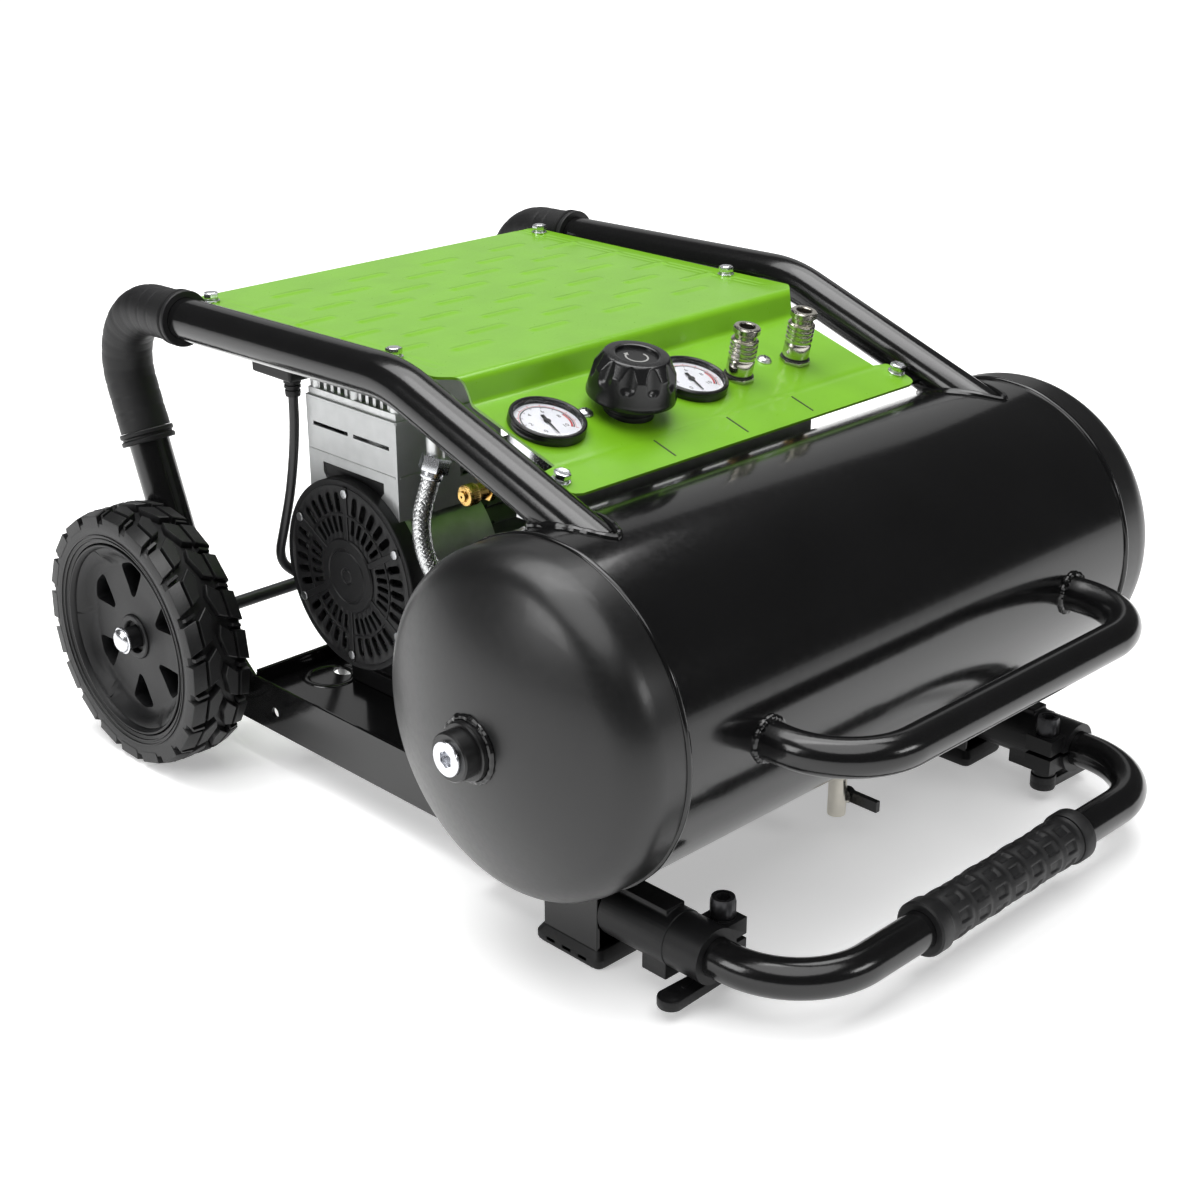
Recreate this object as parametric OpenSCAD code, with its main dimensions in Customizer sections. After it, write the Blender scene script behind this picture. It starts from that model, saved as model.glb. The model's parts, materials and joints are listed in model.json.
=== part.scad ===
// Portable direct-drive air compressor: a horizontal 19 litre tank on a wheeled tube frame,
// an oil-free motor pump on a tray behind it, a sheet cover with a control panel above,
// and a pull handle that slides in two guide tubes under the front.
// +X runs along the tank, +Y to the wheels, +Z up. The origin is on the floor, at the
// centre of the object's footprint.

/* [Tank] */
// Outside diameter of the tank
tank_d = 218; // [216:1:220]
// Length of the straight shell between the two seams
shell_l = 448; // [440:2:452]
// Height of the tank's axis above the floor
tank_z = 170; // [169:0.5:171]
// Distance of the tank's axis in front of the origin
tank_setback = 168; // [167:0.5:169]
// Wall of the shell and the heads
tank_wall = 2; // [1.8:0.1:2.5]

/* [Frame] */
// Outside diameter of the two side tubes
tube_d = 30; // [28:0.5:31]
// Distance of each side tube from the middle
frame_x = 189.5; // [189:0.25:190]
// Half width of the tray that carries the motor
tray_half = 190; // [188:0.5:191]
// Diameter of the front carrying bar
bar_d = 24; // [22:0.5:25]

/* [Wheels] */
// Outside diameter of a tyre
wheel_d = 192; // [190:1:193]
// Width of a tyre
wheel_w = 50; // [48:1:51]
// Diameter of the axle
axle_d = 10; // [9.5:0.1:10]

/* [Pull handle] */
// Outside diameter of the sliding tube
handle_d = 25; // [24:0.25:25]
// Distance of each sliding leg from the middle
handle_x = 191; // [190:0.5:192]
// Height of the handle above the floor
handle_z = 37.5; // [37:0.25:38]

/* [Cover and panel] */
// Slope of the control panel
panel_tilt = 16.5; // [16:0.25:17]
// Height of the flat top of the cover
cover_z = 330; // [329:0.5:331]
// Thickness of the cover sheet
sheet_t = 2; // [1.5:0.25:2]
// Lean of the regulator and the couplings
valve_tilt = 11; // [10:0.5:12]

/* [Motor and pump] */
// Distance of the motor shaft behind the origin
motor_y = 99; // [98:0.5:100]
// Height of the motor shaft
motor_z = 163.5; // [163:0.5:164]
// Bore of the cylinder
bore_d = 64; // [62:1:66]
// Throw of the crank
crank_r = 11; // [10:0.5:12]

/* [Hidden] */

$fn = 64;
eps = 0.01;
fit_gap = 0.05;
lap = 0.05;
datum_y = 6;
gap = 0.1;
band = 0.03;
band_l = 0.8;

tank_y = -tank_setback;
tank_r = tank_d / 2;
shell_half = shell_l / 2;
skirt_l = 15;
crown_r = 210;
knuckle_r = 30;
crown_drop = sqrt(pow(crown_r - knuckle_r, 2) - pow(tank_r - knuckle_r, 2));
head_tip = shell_half + skirt_l + crown_r - crown_drop;
bead_r = 2;
boss_r = [18, 15];
boss_l = [9, 16];
plug_r = 10.5;
plug_l = 2.6;
socket_af = 9;

tube_r = tube_d / 2;
tube_wall = 2;
weld_yz = [-143.8, 276.4];
bend_yz = [5.9, 329.5];
corner_yz = [337, 323];
axle_yz = [249.5, wheel_d / 2];
front_bend_r = 100;
rear_bend_r = 45;
tube_reach = 35;
leg_reach = 18;

tab_t = 3;
tab_w = 24;
top_bolt_x = 159.6;
top_bolt_y = [43.6, 247.3];
strip_bolt_x = 163.6;
strip_bolt_y = -115.2;

bar_r = bar_d / 2;
bar_x = 155;
bar_z = 168.5;
bar_front = -339.7;
bar_bend_r = 52;

tray_t = 2.5;
tray_rear = 184;
tray_front = -128;
tray_side_front = -62;
tray_floor = 58;
tray_side_low = 30;
tray_side_top = 68;
tray_lip_top = 70;

handle_r = handle_d / 2;
handle_front = -339.4;
handle_bend_r = 58;
handle_rear = -73;
handle_wall = 2;
guide_r = 15;
guide_front = -246;
guide_rear = -68;
sleeve_r = 18.5;
sleeve_rear = -192;
clamp_l = 27;
clamp_front = guide_front - clamp_l;
ear_x = 20;
lever_z = 9;
lever_t = 7;
lever_len = 52;

foot_x = 190.5;
foot_w = 44;
foot_l = 57;
foot_t = 12;

wheel_r = wheel_d / 2;
axle_r = axle_d / 2;
wheel_in = 209.5;
hub_r = 17;
rim_r = 72;
spoke_n = 6;

fold_r = 6;
cover_rear = 265;
slope_top = [-20.2, cover_z];
slope_low = [-26.5, 312.7];
panel_run = 108.8;
strip_run = 31;
top_half = 170;
slope_half = 162;
panel_half = 155;
strip_half = 168;
emboss_h = 1.2;
emboss_l = 36;
emboss_w = 7;
emboss_dx = 70;
emboss_dy = 24.5;

gauge_x = [-128, 4];
gauge_y = -65;
gauge_r = 25.3;
gauge_glass_r = 22.2;
gauge_case_r = 22.6;
gauge_rise = 7.5;
dial_n = 2.2;
dial_t = 0.8;
needle_n = 3.6;
needle_t = 0.6;
regulator_x = -63;
coupler_x = [43, 102];
valve_y = -73;
manifold_y = -64.5;
manifold_z = 254;
manifold_half = 13;
outlet_y = -72;
safety_x = -135.5;
panel_screw_x = [-93, 80];
panel_screw_y = -64;

box_lo = [-168, 147.2, 292];
box_hi = [-118, 192, 328];
cord_r = 3.5;
gland_l = 20;
gland_low = 280;
gland_xy = [-159, 157];

grille_x = -163;
grille_t = 13;
grille_r = 69;
crankcase_x = [-132, -78];
housing_x = [-78, 40];
housing_r = 62;
shaft_r = 8;
journal_r = 12;
big_end_r = 27;
pump_x = -107;
cyl_top = 280;
cowl_lo = [-155, 51, 205];
cowl_hi = [-62, 148, 283];
cowl_t = 1.5;
head_top = 304;

drain_xy = [20, -193];
hose_r = 6.5;
hose_top = [-147.7, 25, 250];
hose_corner = [-166, 28, 198];
hose_bend_r = 62;
valve_root = [-131, tank_y + 104.8, tank_z - 30];
valve_dir = unit([0, 104.8, -30]);
valve_elbow = valve_root + valve_dir * 20;
valve_l = 20;
outlet_top = [-143.4, 25, 296];

// The lead's own route, from the gland down behind the motor and out to its coil
cord_route = [[-159, 157, 280], [-159, 157.6, 260], [-159, 161, 235], [-159, 168, 205],
    [-160, 177, 175], [-159, 184, 157], [-152, 189, 143], [-138, 190, 130], [-120, 192, 112],
    [-106, 196, 92], [-94, 204, 70], [-84, 216, 46], [-74, 232, 22], [-60, 250, 8],
    [-42, 267, 3.7], [-18, 278, 3.6], [10, 281, 3.6], [40, 281.5, 3.6]];
coil_at = [40, 330];
coil_r = 52;
coil_hole_r = 31;
coil_h = 14;
plug_at = [126, 283.5];

// ---------- small helpers ----------

function unit(v) = v / norm(v);
function heading(v) = atan2(v[1], v[0]);
function wrap(a) = a > 180 ? a - 360 : a < -180 ? a + 360 : a;
function turn(p, i) = wrap(heading(p[i + 1] - p[i]) - heading(p[i] - p[i - 1]));
function inside(p, i) = i > 0 && i < len(p) - 1;
function trim(p, rb, i) = inside(p, i) ? rb[i] * tan(abs(turn(p, i)) / 2) : 0;
function panel_z(y) = slope_low[1] + (y - slope_low[0]) * tan(panel_tilt);

// Stands a straight piece's children at its start, with +Z along it
module along(p, rb, i) {
    d = unit(p[i + 1] - p[i]);
    a = p[i] + d * gap_at(p, rb, i);
    translate([a[0], a[1], 0])
        rotate([0, 0, heading(d)])
            rotate([0, 90, 0])
                children();
}

function gap_at(p, rb, i) = inside(p, i) ? trim(p, rb, i) + gap : 0;
function run_l(p, rb, i) = norm(p[i + 1] - p[i]) - gap_at(p, rb, i) - gap_at(p, rb, i + 1);

// A bend about its own centre, of whatever section the children draw
module bend(p, rb, i) {
    t = turn(p, i);
    d = unit(p[i] - p[i - 1]);
    n = [-d[1], d[0]] * sign(t);
    c = p[i] - d * trim(p, rb, i) + n * rb[i];
    translate([c[0], c[1], 0])
        rotate([0, 0, heading(-n) + min(0, t)])
            rotate_extrude(angle = abs(t))
                translate([rb[i], 0])
                    children();
}

// A round bar along a flat path, with a tangent bend at every inner point and a fine
// band where a straight meets a bend
module bar(p, rb, r) {
    for (i = [0:1:len(p) - 2])
        along(p, rb, i)
            cylinder(r = r, h = run_l(p, rb, i));
    for (i = [1:1:len(p) - 2])
        bend(p, rb, i)
            circle(r = r);
    bands(p, rb)
        cylinder(r = r + band, h = band_l, center = true);
}

// The same, as a tube with an inner radius
module pipe(p, rb, r, r_in) {
    for (i = [0:1:len(p) - 2])
        along(p, rb, i)
            hollow(r, r_in, run_l(p, rb, i));
    for (i = [1:1:len(p) - 2])
        bend(p, rb, i)
            difference() {
                circle(r = r);
                circle(r = r_in);
            }
    bands(p, rb)
        translate([0, 0, -band_l / 2])
            hollow(r + band, r_in - band, band_l);
}

module hollow(r, r_in, h) {
    difference() {
        cylinder(r = r, h = h);
        translate([0, 0, -1])
            cylinder(r = r_in, h = h + 2);
    }
}

// Children stand on each joint between a straight and a bend
module bands(p, rb) {
    for (i = [1:1:len(p) - 2]) {
        along(p, rb, i)
            children();
        along(p, rb, i - 1)
            translate([0, 0, run_l(p, rb, i - 1)])
                children();
    }
}

// Turns a drawing of (Y, Z) into the plane at a given X
module side_plane(x) {
    translate([x, 0, 0])
        rotate([90, 0, 90])
            children();
}

// A cylinder along +X, +Y or any direction, from a point
module rod_x(p, r, l) {
    translate(p)
        rotate([0, 90, 0])
            cylinder(r = r, h = l);
}

module rod_y(p, r, l) {
    translate(p)
        rotate([-90, 0, 0])
            cylinder(r = r, h = l);
}

module rod_along(p, d, r, l) {
    translate(p)
        rotate([0, acos(unit(d)[2]), heading(d)])
            cylinder(r = r, h = l);
}

// Stands children on the panel's top face, square to it
module on_panel(x, y) {
    translate([x, y, panel_z(y)])
        rotate([panel_tilt, 0, 0])
            children();
}

// Stands children on the panel at the couplings' own lean
module on_valve(x) {
    translate([x, valve_y, panel_z(valve_y)])
        rotate([valve_tilt, 0, 0])
            children();
}

module both_sides() {
    children();
    mirror([1, 0, 0])
        children();
}

module block(lo, hi) {
    translate(lo)
        cube(hi - lo);
}

// A tube of plain rings swept along a route in space
function route_dir(p, i) = unit(p[min(i + 1, len(p) - 1)] - p[max(i - 1, 0)]);
function side_of(d) = unit(cross(d, abs(d[0]) > 0.9 ? [0, 1, 0] : [1, 0, 0]));
function ring(p, d, r, n) = let(u = side_of(d), v = cross(d, u))
    [for (k = [0:n - 1]) p + r * (cos(360 * k / n) * u + sin(360 * k / n) * v)];

module swept(p, r, n) {
    rings = [for (i = [0:len(p) - 1]) each ring(p[i], route_dir(p, i), r, n)];
    last = len(p) - 1;
    sides = [for (i = [0:last - 1], k = [0:n - 1])
        [i * n + k, i * n + (k + 1) % n, (i + 1) * n + (k + 1) % n, (i + 1) * n + k]];
    ends = [[for (k = [n - 1:-1:0]) k], [for (k = [0:n - 1]) last * n + k]];
    polyhedron(points = rings, faces = concat(sides, ends), convexity = 8);
}

// ---------- tank ----------

module tank_solid(r, half) {
    rod_x([-half, tank_y, tank_z], r, 2 * half);
}

module tank_shell() {
    color("#141517")
        difference() {
            union() {
                tank_solid(tank_r, shell_half);
                for (s = [-1, 1])
                    translate([s * (shell_half - bead_r), tank_y, tank_z])
                        rotate([0, 90, 0])
                            rotate_extrude()
                                translate([tank_r, 0])
                                    circle(r = bead_r);
                translate([drain_xy[0], drain_xy[1], tank_z - tank_r - 4])
                    cylinder(r = 13, h = 20);
                translate([20, outlet_y, tank_z + 10])
                    cylinder(r = 12, h = manifold_z - manifold_half - tank_z - 10);
            }
            tank_solid(tank_r - tank_wall, shell_half + 1);
        }
}

// Half outline of a dished head: skirt, knuckle and crown
module dish(r, kn, cr) {
    reach = 1.5 * cr / (cr - kn);
    square([r, skirt_l]);
    translate([0, skirt_l]) {
        intersection() {
            translate([r - kn, 0])
                circle(r = kn);
            square([r, kn]);
        }
        intersection() {
            translate([0, -crown_drop])
                circle(r = cr);
            polygon([[0, 0], [r - kn, 0], [(r - kn) * reach, crown_drop * (reach - 1)],
                [0, 2 * cr]]);
        }
    }
}

module head_and_boss() {
    difference() {
        union() {
            rotate_extrude()
                dish(tank_r, knuckle_r, crown_r);
            translate([0, 0, head_tip - shell_half - 4]) {
                cylinder(r = boss_r[0], h = boss_l[0]);
                cylinder(r = boss_r[1], h = boss_l[1] + 3);
            }
        }
        translate([0, 0, -eps])
            rotate_extrude()
                dish(tank_r - tank_wall, knuckle_r - tank_wall, crown_r - tank_wall);
        translate([0, 0, head_tip - shell_half - 10])
            cylinder(r = plug_r - 1.5, h = 40);
    }
}

module tank_heads() {
    color("#141517")
        both_sides()
            translate([shell_half, tank_y, tank_z])
                rotate([0, 90, 0])
                    head_and_boss();
}

module tank_plugs() {
    color("#b9bcc0")
        both_sides()
            translate([head_tip + boss_l[1] - 1, tank_y, tank_z])
                rotate([0, 90, 0])
                    difference() {
                        union() {
                            cylinder(r = plug_r, h = plug_l);
                            translate([0, 0, -14])
                                cylinder(r = plug_r - 1.5, h = 14.5);
                        }
                        translate([0, 0, -5])
                            cylinder(r = socket_af / 2, h = 12, $fn = 6);
                    }
}

// ---------- frame ----------

function side_path() = [weld_yz - unit(bend_yz - weld_yz) * tube_reach, bend_yz, corner_yz,
    axle_yz + unit(axle_yz - corner_yz) * leg_reach];
function side_bends() = [0, front_bend_r, rear_bend_r, 0];

module side_bar(r) {
    bar(side_path(), side_bends(), r);
}

module side_tube(x) {
    color("#141517")
        difference() {
            side_plane(x)
                pipe(side_path(), side_bends(), tube_r, tube_r - tube_wall);
            tank_solid(tank_r, shell_half + 1);
            rod_x([x - 30, axle_yz[0], axle_yz[1]], axle_r + fit_gap, 60);
        }
}

module side_tube_left() {
    side_tube(-frame_x);
}

module side_tube_right() {
    side_tube(frame_x);
}

// Rubber sleeve round the rear elbow, with a collar at each end
module elbow_grip() {
    run = unit(bend_yz - corner_yz);
    leg = unit(axle_yz - corner_yz);
    path = [corner_yz + run * 92, corner_yz, corner_yz + leg * 100];
    side_plane(frame_x) {
        pipe(path, [0, rear_bend_r, 0], tube_r + 3.5, tube_r);
        pipe([path[0] - run * 10, path[0]], [0, 0], tube_r + 5, tube_r + 1);
        pipe([path[2] - leg * 10, path[2]], [0, 0], tube_r + 5, tube_r + 1);
    }
}

module elbow_grips() {
    color("#202123")
        both_sides()
            elbow_grip();
}

// One flat tab, reaching from a side tube in under the cover
module tab(x) {
    difference() {
        union() {
            translate([x, -tab_w / 2, -tab_t])
                cube([frame_x - x, tab_w, tab_t]);
            translate([x, 0, -tab_t])
                cylinder(r = tab_w / 2, h = tab_t);
        }
        translate([x, 0, -tab_t - 1])
            cylinder(r = 3.2, h = tab_t + 2);
    }
}

module cover_tabs() {
    color("#141517")
        both_sides()
            difference() {
                union() {
                    for (y = top_bolt_y)
                        translate([0, y, cover_z - sheet_t])
                            tab(top_bolt_x);
                    on_panel(0, strip_bolt_y)
                        translate([0, 0, -sheet_t])
                            tab(strip_bolt_x);
                }
                side_plane(frame_x)
                    side_bar(tube_r);
            }
}

module carry_bar() {
    path = [[-bar_x, tank_y - 60], [-bar_x, bar_front], [bar_x, bar_front],
        [bar_x, tank_y - 60]];
    bends = [0, bar_bend_r, bar_bend_r, 0];
    color("#141517")
        difference() {
            translate([0, 0, bar_z])
                pipe(path, bends, bar_r, bar_r - 2);
            tank_solid(tank_r, shell_half);
        }
}

// Pressed tray: floor, rear lip and two deep sides that reach back to the axle
module tray_side() {
    difference() {
        linear_extrude(height = tray_t)
            polygon([[tray_side_front, tray_side_low], [tray_rear + 30, tray_side_low],
                [axle_yz[0] + 22, axle_yz[1] - 14], [axle_yz[0] + 22, axle_yz[1] + 14],
                [axle_yz[0] - 12, axle_yz[1] + 14], [tray_rear, tray_side_top],
                [tray_side_front, tray_side_top]]);
        translate([axle_yz[0], axle_yz[1], -1])
            cylinder(r = axle_r + fit_gap, h = tray_t + 2);
        translate([tray_rear - 24, 46, -1])
            cylinder(r = 4, h = tray_t + 2);
    }
}

module base_tray() {
    floor_half = tray_half - tray_t;
    color("#141517")
        difference() {
            union() {
                block([-floor_half - eps, tray_front, tray_floor],
                    [floor_half + eps, tray_rear, tray_floor + tray_t]);
                block([-floor_half - eps, tray_rear - tray_t, tray_floor],
                    [floor_half + eps, tray_rear, tray_lip_top]);
                block([-floor_half - eps, tray_front, tray_floor],
                    [floor_half + eps, tray_front + tray_t, tray_floor + 20]);
                both_sides() {
                    side_plane(floor_half)
                        tray_side();
                    block([handle_x - 15, tray_front, handle_z + 8],
                        [floor_half, tray_front + 22, tray_floor + eps]);
                }
            }
            tank_solid(tank_r, shell_half);
            both_sides() {
                rod_y([handle_x, guide_front, handle_z], guide_r, guide_rear - guide_front);
                side_plane(frame_x)
                    side_bar(tube_r);
                for (y = [40, 158])
                    translate([-126, y, tray_floor - 1])
                        cylinder(r = 9, h = tray_t + 2);
            }
        }
}

module guide_tubes() {
    color("#141517")
        both_sides()
            difference() {
                rod_y([handle_x, guide_front, handle_z], guide_r, guide_rear - guide_front);
                rod_y([handle_x, guide_front - 1, handle_z], handle_r + fit_gap,
                    guide_rear - guide_front + 2);
            }
}

module guide_sleeves() {
    color("#1d1e20")
        both_sides()
            difference() {
                union() {
                    rod_y([handle_x, guide_front, handle_z], sleeve_r, sleeve_rear - guide_front);
                    block([handle_x - sleeve_r + 4, guide_front, handle_z - sleeve_r - 4],
                        [handle_x + sleeve_r - 4, guide_front + 20, handle_z]);
                    block([handle_x - 8, guide_front + 6, handle_z],
                        [handle_x + 8, sleeve_rear, handle_z + sleeve_r + 2]);
                }
                rod_y([handle_x, guide_front - 1, handle_z], guide_r, 200);
                tank_solid(tank_r, shell_half + 1);
            }
}

// Split ring round the sliding tube, with a pair of ears on the inner side
module clamp_rings() {
    color("#1d1e20")
        both_sides()
            difference() {
                union() {
                    rod_y([handle_x, clamp_front, handle_z], 18, clamp_l - eps);
                    block([handle_x - ear_x - 10, clamp_front + 3, handle_z - 13],
                        [handle_x, clamp_front + clamp_l - 3, handle_z + 13]);
                    translate([handle_x - ear_x, clamp_front + clamp_l / 2, handle_z - 17])
                        cylinder(r = 8, h = 31);
                }
                rod_y([handle_x, clamp_front - 1, handle_z], handle_r + fit_gap, clamp_l + 2);
                block([handle_x - 40, clamp_front - 1, handle_z - 1.5],
                    [handle_x, clamp_front + clamp_l + 1, handle_z + 1.5]);
                translate([handle_x - ear_x, clamp_front + clamp_l / 2, 0])
                    cylinder(r = 4 + fit_gap, h = 80);
            }
}

module clamp_screws() {
    color("#222326")
        both_sides()
            translate([handle_x - ear_x, clamp_front + clamp_l / 2, 0])
                difference() {
                    union() {
                        translate([0, 0, handle_z + 14])
                            cylinder(r = 8, h = 13);
                        translate([0, 0, lever_z - 1])
                            cylinder(r = 4, h = handle_z + 15 - lever_z);
                    }
                    translate([0, 0, handle_z + 20])
                        cylinder(r = 4.6, h = 10, $fn = 6);
                }
}

// Clamping lever under the ears, pointing outwards
module clamp_lever() {
    translate([handle_x - ear_x, clamp_front + clamp_l / 2, lever_z])
        difference() {
            union() {
                cylinder(r = 9, h = lever_t + 4);
                translate([0, -7, 0])
                    cube([lever_len - 8, 14, lever_t]);
                translate([lever_len - 8, 0, 0])
                    cylinder(r = 9, h = lever_t);
            }
            translate([0, 0, -1])
                cylinder(r = 4 + fit_gap, h = lever_t + 6);
        }
}

module clamp_lever_left() {
    color("#1d1e20")
        mirror([1, 0, 0])
            clamp_lever();
}

module clamp_lever_right() {
    color("#1d1e20")
        clamp_lever();
}

module foot_brackets() {
    x_in = handle_x - guide_r - 4;
    x_out = handle_x + guide_r + 3;
    y_lo = tank_y - foot_l / 2 + 5;
    y_hi = tank_y + foot_l / 2 - 5;
    color("#141517")
        both_sides()
            difference() {
                block([x_in, y_lo, foot_t - 3], [x_out, y_hi, tank_z - 60]);
                block([x_in + 3, y_lo - 1, foot_t], [x_out - 3, y_hi + 1, tank_z]);
                tank_solid(tank_r, shell_half);
            }
}

module rubber_feet() {
    color("#1b1c1e")
        both_sides()
            difference() {
                block([foot_x - foot_w / 2, tank_y - foot_l / 2, 0],
                    [foot_x + foot_w / 2, tank_y + foot_l / 2, foot_t]);
                block([handle_x - guide_r - 4, tank_y - foot_l / 2 + 5, foot_t - 3],
                    [handle_x + guide_r + 3, tank_y + foot_l / 2 - 5, foot_t + 1]);
            }
}

// ---------- wheels ----------

module axle() {
    reach = wheel_in + wheel_w + 1;
    color("#26272a")
        rod_x([-reach, axle_yz[0], axle_yz[1]], axle_r, 2 * reach);
}

module axle_caps() {
    color("#c3c6c9")
        both_sides()
            translate([wheel_in + wheel_w - 4, axle_yz[0], axle_yz[1]])
                rotate([0, 90, 0])
                    difference() {
                        union() {
                            cylinder(r = 10, h = 2);
                            intersection() {
                                translate([0, 0, -6])
                                    sphere(r = 13);
                                cylinder(r = 9.5, h = 8);
                            }
                        }
                        translate([0, 0, -1])
                            cylinder(r = axle_r, h = 6);
                    }
}

// Moulded rim: hub, dished web with six windows, and the outer ring
module wheel() {
    translate([wheel_in, axle_yz[0], axle_yz[1]])
        rotate([0, 90, 0])
            difference() {
                union() {
                    cylinder(r = hub_r, h = wheel_w - 5);
                    translate([0, 0, 3])
                        difference() {
                            cylinder(r = rim_r, h = wheel_w - 6);
                            translate([0, 0, -1])
                                cylinder(r = rim_r - 5, h = wheel_w);
                        }
                    translate([0, 0, wheel_w - 21])
                        cylinder(r = rim_r - 2, h = 7);
                }
                translate([0, 0, -1])
                    cylinder(r = axle_r + fit_gap, h = wheel_w + 2);
                for (k = [0:spoke_n - 1])
                    rotate([0, 0, 360 / spoke_n * (k + 0.5)])
                        translate([0, 0, wheel_w - 30])
                            linear_extrude(height = 30)
                                polygon([[27, -3], [60, -16], [64, 0], [60, 16], [27, 3]]);
            }
}

// Tyre with two rows of deep cross blocks
module tyre() {
    blocks = 24;
    translate([wheel_in, axle_yz[0], axle_yz[1]])
        rotate([0, 90, 0])
            difference() {
                union() {
                    cylinder(r = wheel_r - 5, h = wheel_w);
                    translate([0, 0, 4])
                        cylinder(r = wheel_r, h = wheel_w - 8);
                }
                translate([0, 0, -1])
                    cylinder(r = rim_r, h = wheel_w + 2);
                for (k = [0:blocks - 1])
                    rotate([0, 0, 360 / blocks * k])
                        for (s = [0, 1])
                            rotate([0, 0, 180 / blocks * s])
                                translate([wheel_r - 5, -3, s * (wheel_w / 2 + 2) - 1])
                                    cube([10, 6, wheel_w / 2 - 1]);
            }
}

module wheel_left() {
    color("#232427")
        mirror([1, 0, 0])
            wheel();
}

module wheel_right() {
    color("#232427")
        wheel();
}

module tyre_left() {
    color("#18191b")
        mirror([1, 0, 0])
            tyre();
}

module tyre_right() {
    color("#18191b")
        tyre();
}

// ---------- pull handle ----------

function handle_path() = [[-handle_x, handle_rear], [-handle_x, handle_front],
    [handle_x, handle_front], [handle_x, handle_rear]];

module handle_tube() {
    color("#141517")
        translate([0, 0, handle_z])
            pipe(handle_path(), [0, handle_bend_r, handle_bend_r, 0], handle_r,
                handle_r - handle_wall);
}

module handle_grip() {
    color("#222326")
        translate([0, handle_front, handle_z])
            rotate([0, 90, 0])
                difference() {
                    union() {
                        cylinder(r = 15.5, h = 150, center = true);
                        for (s = [-1, 1])
                            translate([0, 0, s * 77])
                                cylinder(r = 18, h = 12, center = true);
                        for (k = [-2:2])
                            translate([0, 0, k * 28])
                                cylinder(r = 16.5, h = 14, center = true);
                    }
                    cylinder(r = handle_r, h = 200, center = true);
                }
}

// ---------- cover and panel ----------

function cover_path() = let(down = [-cos(panel_tilt), -sin(panel_tilt)])
    [[cover_rear, cover_z], slope_top, slope_low, slope_low + down * panel_run];

// Section of the bent sheet, drawn about its middle surface
module sheet_section() {
    flat_low = [0, -sheet_t / 2];
    tilt_low = flat_low / cos(panel_tilt);
    path = cover_path();
    p = [path[0] + flat_low, path[1] + flat_low, path[2] + tilt_low, path[3] + tilt_low];
    rb = [0, fold_r, fold_r, 0];
    for (i = [0:len(p) - 2]) {
        d = unit(p[i + 1] - p[i]);
        a = p[i] + d * trim(p, rb, i);
        l = norm(p[i + 1] - p[i]) - trim(p, rb, i) - trim(p, rb, i + 1);
        translate(a)
            rotate(heading(d))
                translate([-lap, -sheet_t / 2])
                    square([l + 2 * lap, sheet_t]);
    }
    for (i = [1:len(p) - 2]) {
        t = turn(p, i);
        d = unit(p[i] - p[i - 1]);
        n = [-d[1], d[0]] * sign(t);
        c = p[i] - d * trim(p, rb, i) + n * rb[i];
        far = 40;
        a0 = heading(-n) + min(0, t);
        translate(c)
            intersection() {
                difference() {
                    circle(r = rb[i] + sheet_t / 2);
                    circle(r = rb[i] - sheet_t / 2);
                }
                rotate(a0)
                    polygon([[0, 0], [far, 0],
                        [far * cos(abs(t) / 2), far * sin(abs(t) / 2)] * 1.3,
                        [far * cos(abs(t)), far * sin(abs(t))]]);
            }
    }
}

// Outline of the sheet seen from above
module sheet_outline() {
    y_end = slope_low[0] - panel_run * cos(panel_tilt);
    y_strip = y_end + strip_run * cos(panel_tilt);
    half = [[top_half, cover_rear + 1], [top_half, -8], [slope_half, -18],
        [panel_half, slope_low[0] - 2], [panel_half, y_strip], [strip_half - 5, y_strip],
        [strip_half, y_strip - 5], [strip_half, y_end + 9], [strip_half - 8, y_end - 1]];
    last = len(half) - 1;
    polygon(concat(half, [for (i = [0:last]) [-half[last - i][0], half[last - i][1]]]));
}

module emboss_pattern() {
    for (row = [0:8]) {
        y = 30 + row * emboss_dy;
        odd = row % 2;
        for (k = [0:3 + odd])
            translate([-105 + k * emboss_dx - odd * emboss_dx / 2, y]) {
                square([emboss_l - emboss_w, emboss_w], center = true);
                for (s = [-1, 1])
                    translate([s * (emboss_l - emboss_w) / 2, 0])
                        circle(r = emboss_w / 2);
            }
    }
}

module top_cover() {
    color("#7ac01f")
        difference() {
            union() {
                intersection() {
                    side_plane(-top_half)
                        linear_extrude(height = 2 * top_half)
                            sheet_section();
                    translate([0, 0, 250])
                        linear_extrude(height = 100)
                            sheet_outline();
                }
                translate([0, 0, cover_z - eps])
                    linear_extrude(height = emboss_h)
                        emboss_pattern();
            }
            for (x = gauge_x)
                on_panel(x, gauge_y)
                    translate([0, 0, -10])
                        cylinder(r = gauge_case_r + 0.3, h = 20);
            on_valve(regulator_x)
                translate([0, 0, -10])
                    cylinder(r = 17.5, h = 20);
            for (x = coupler_x)
                on_valve(x)
                    translate([0, 0, -10])
                        cylinder(r = 11.5, h = 20);
            both_sides() {
                for (y = top_bolt_y)
                    translate([top_bolt_x, y, cover_z - 8])
                        cylinder(r = 3.2, h = 16);
                on_panel(strip_bolt_x, strip_bolt_y)
                    translate([0, 0, -8])
                        cylinder(r = 3.2, h = 16);
            }
            for (x = panel_screw_x)
                on_panel(x, panel_screw_y)
                    translate([0, 0, -8])
                        cylinder(r = 2.6, h = 16);
        }
}

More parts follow.
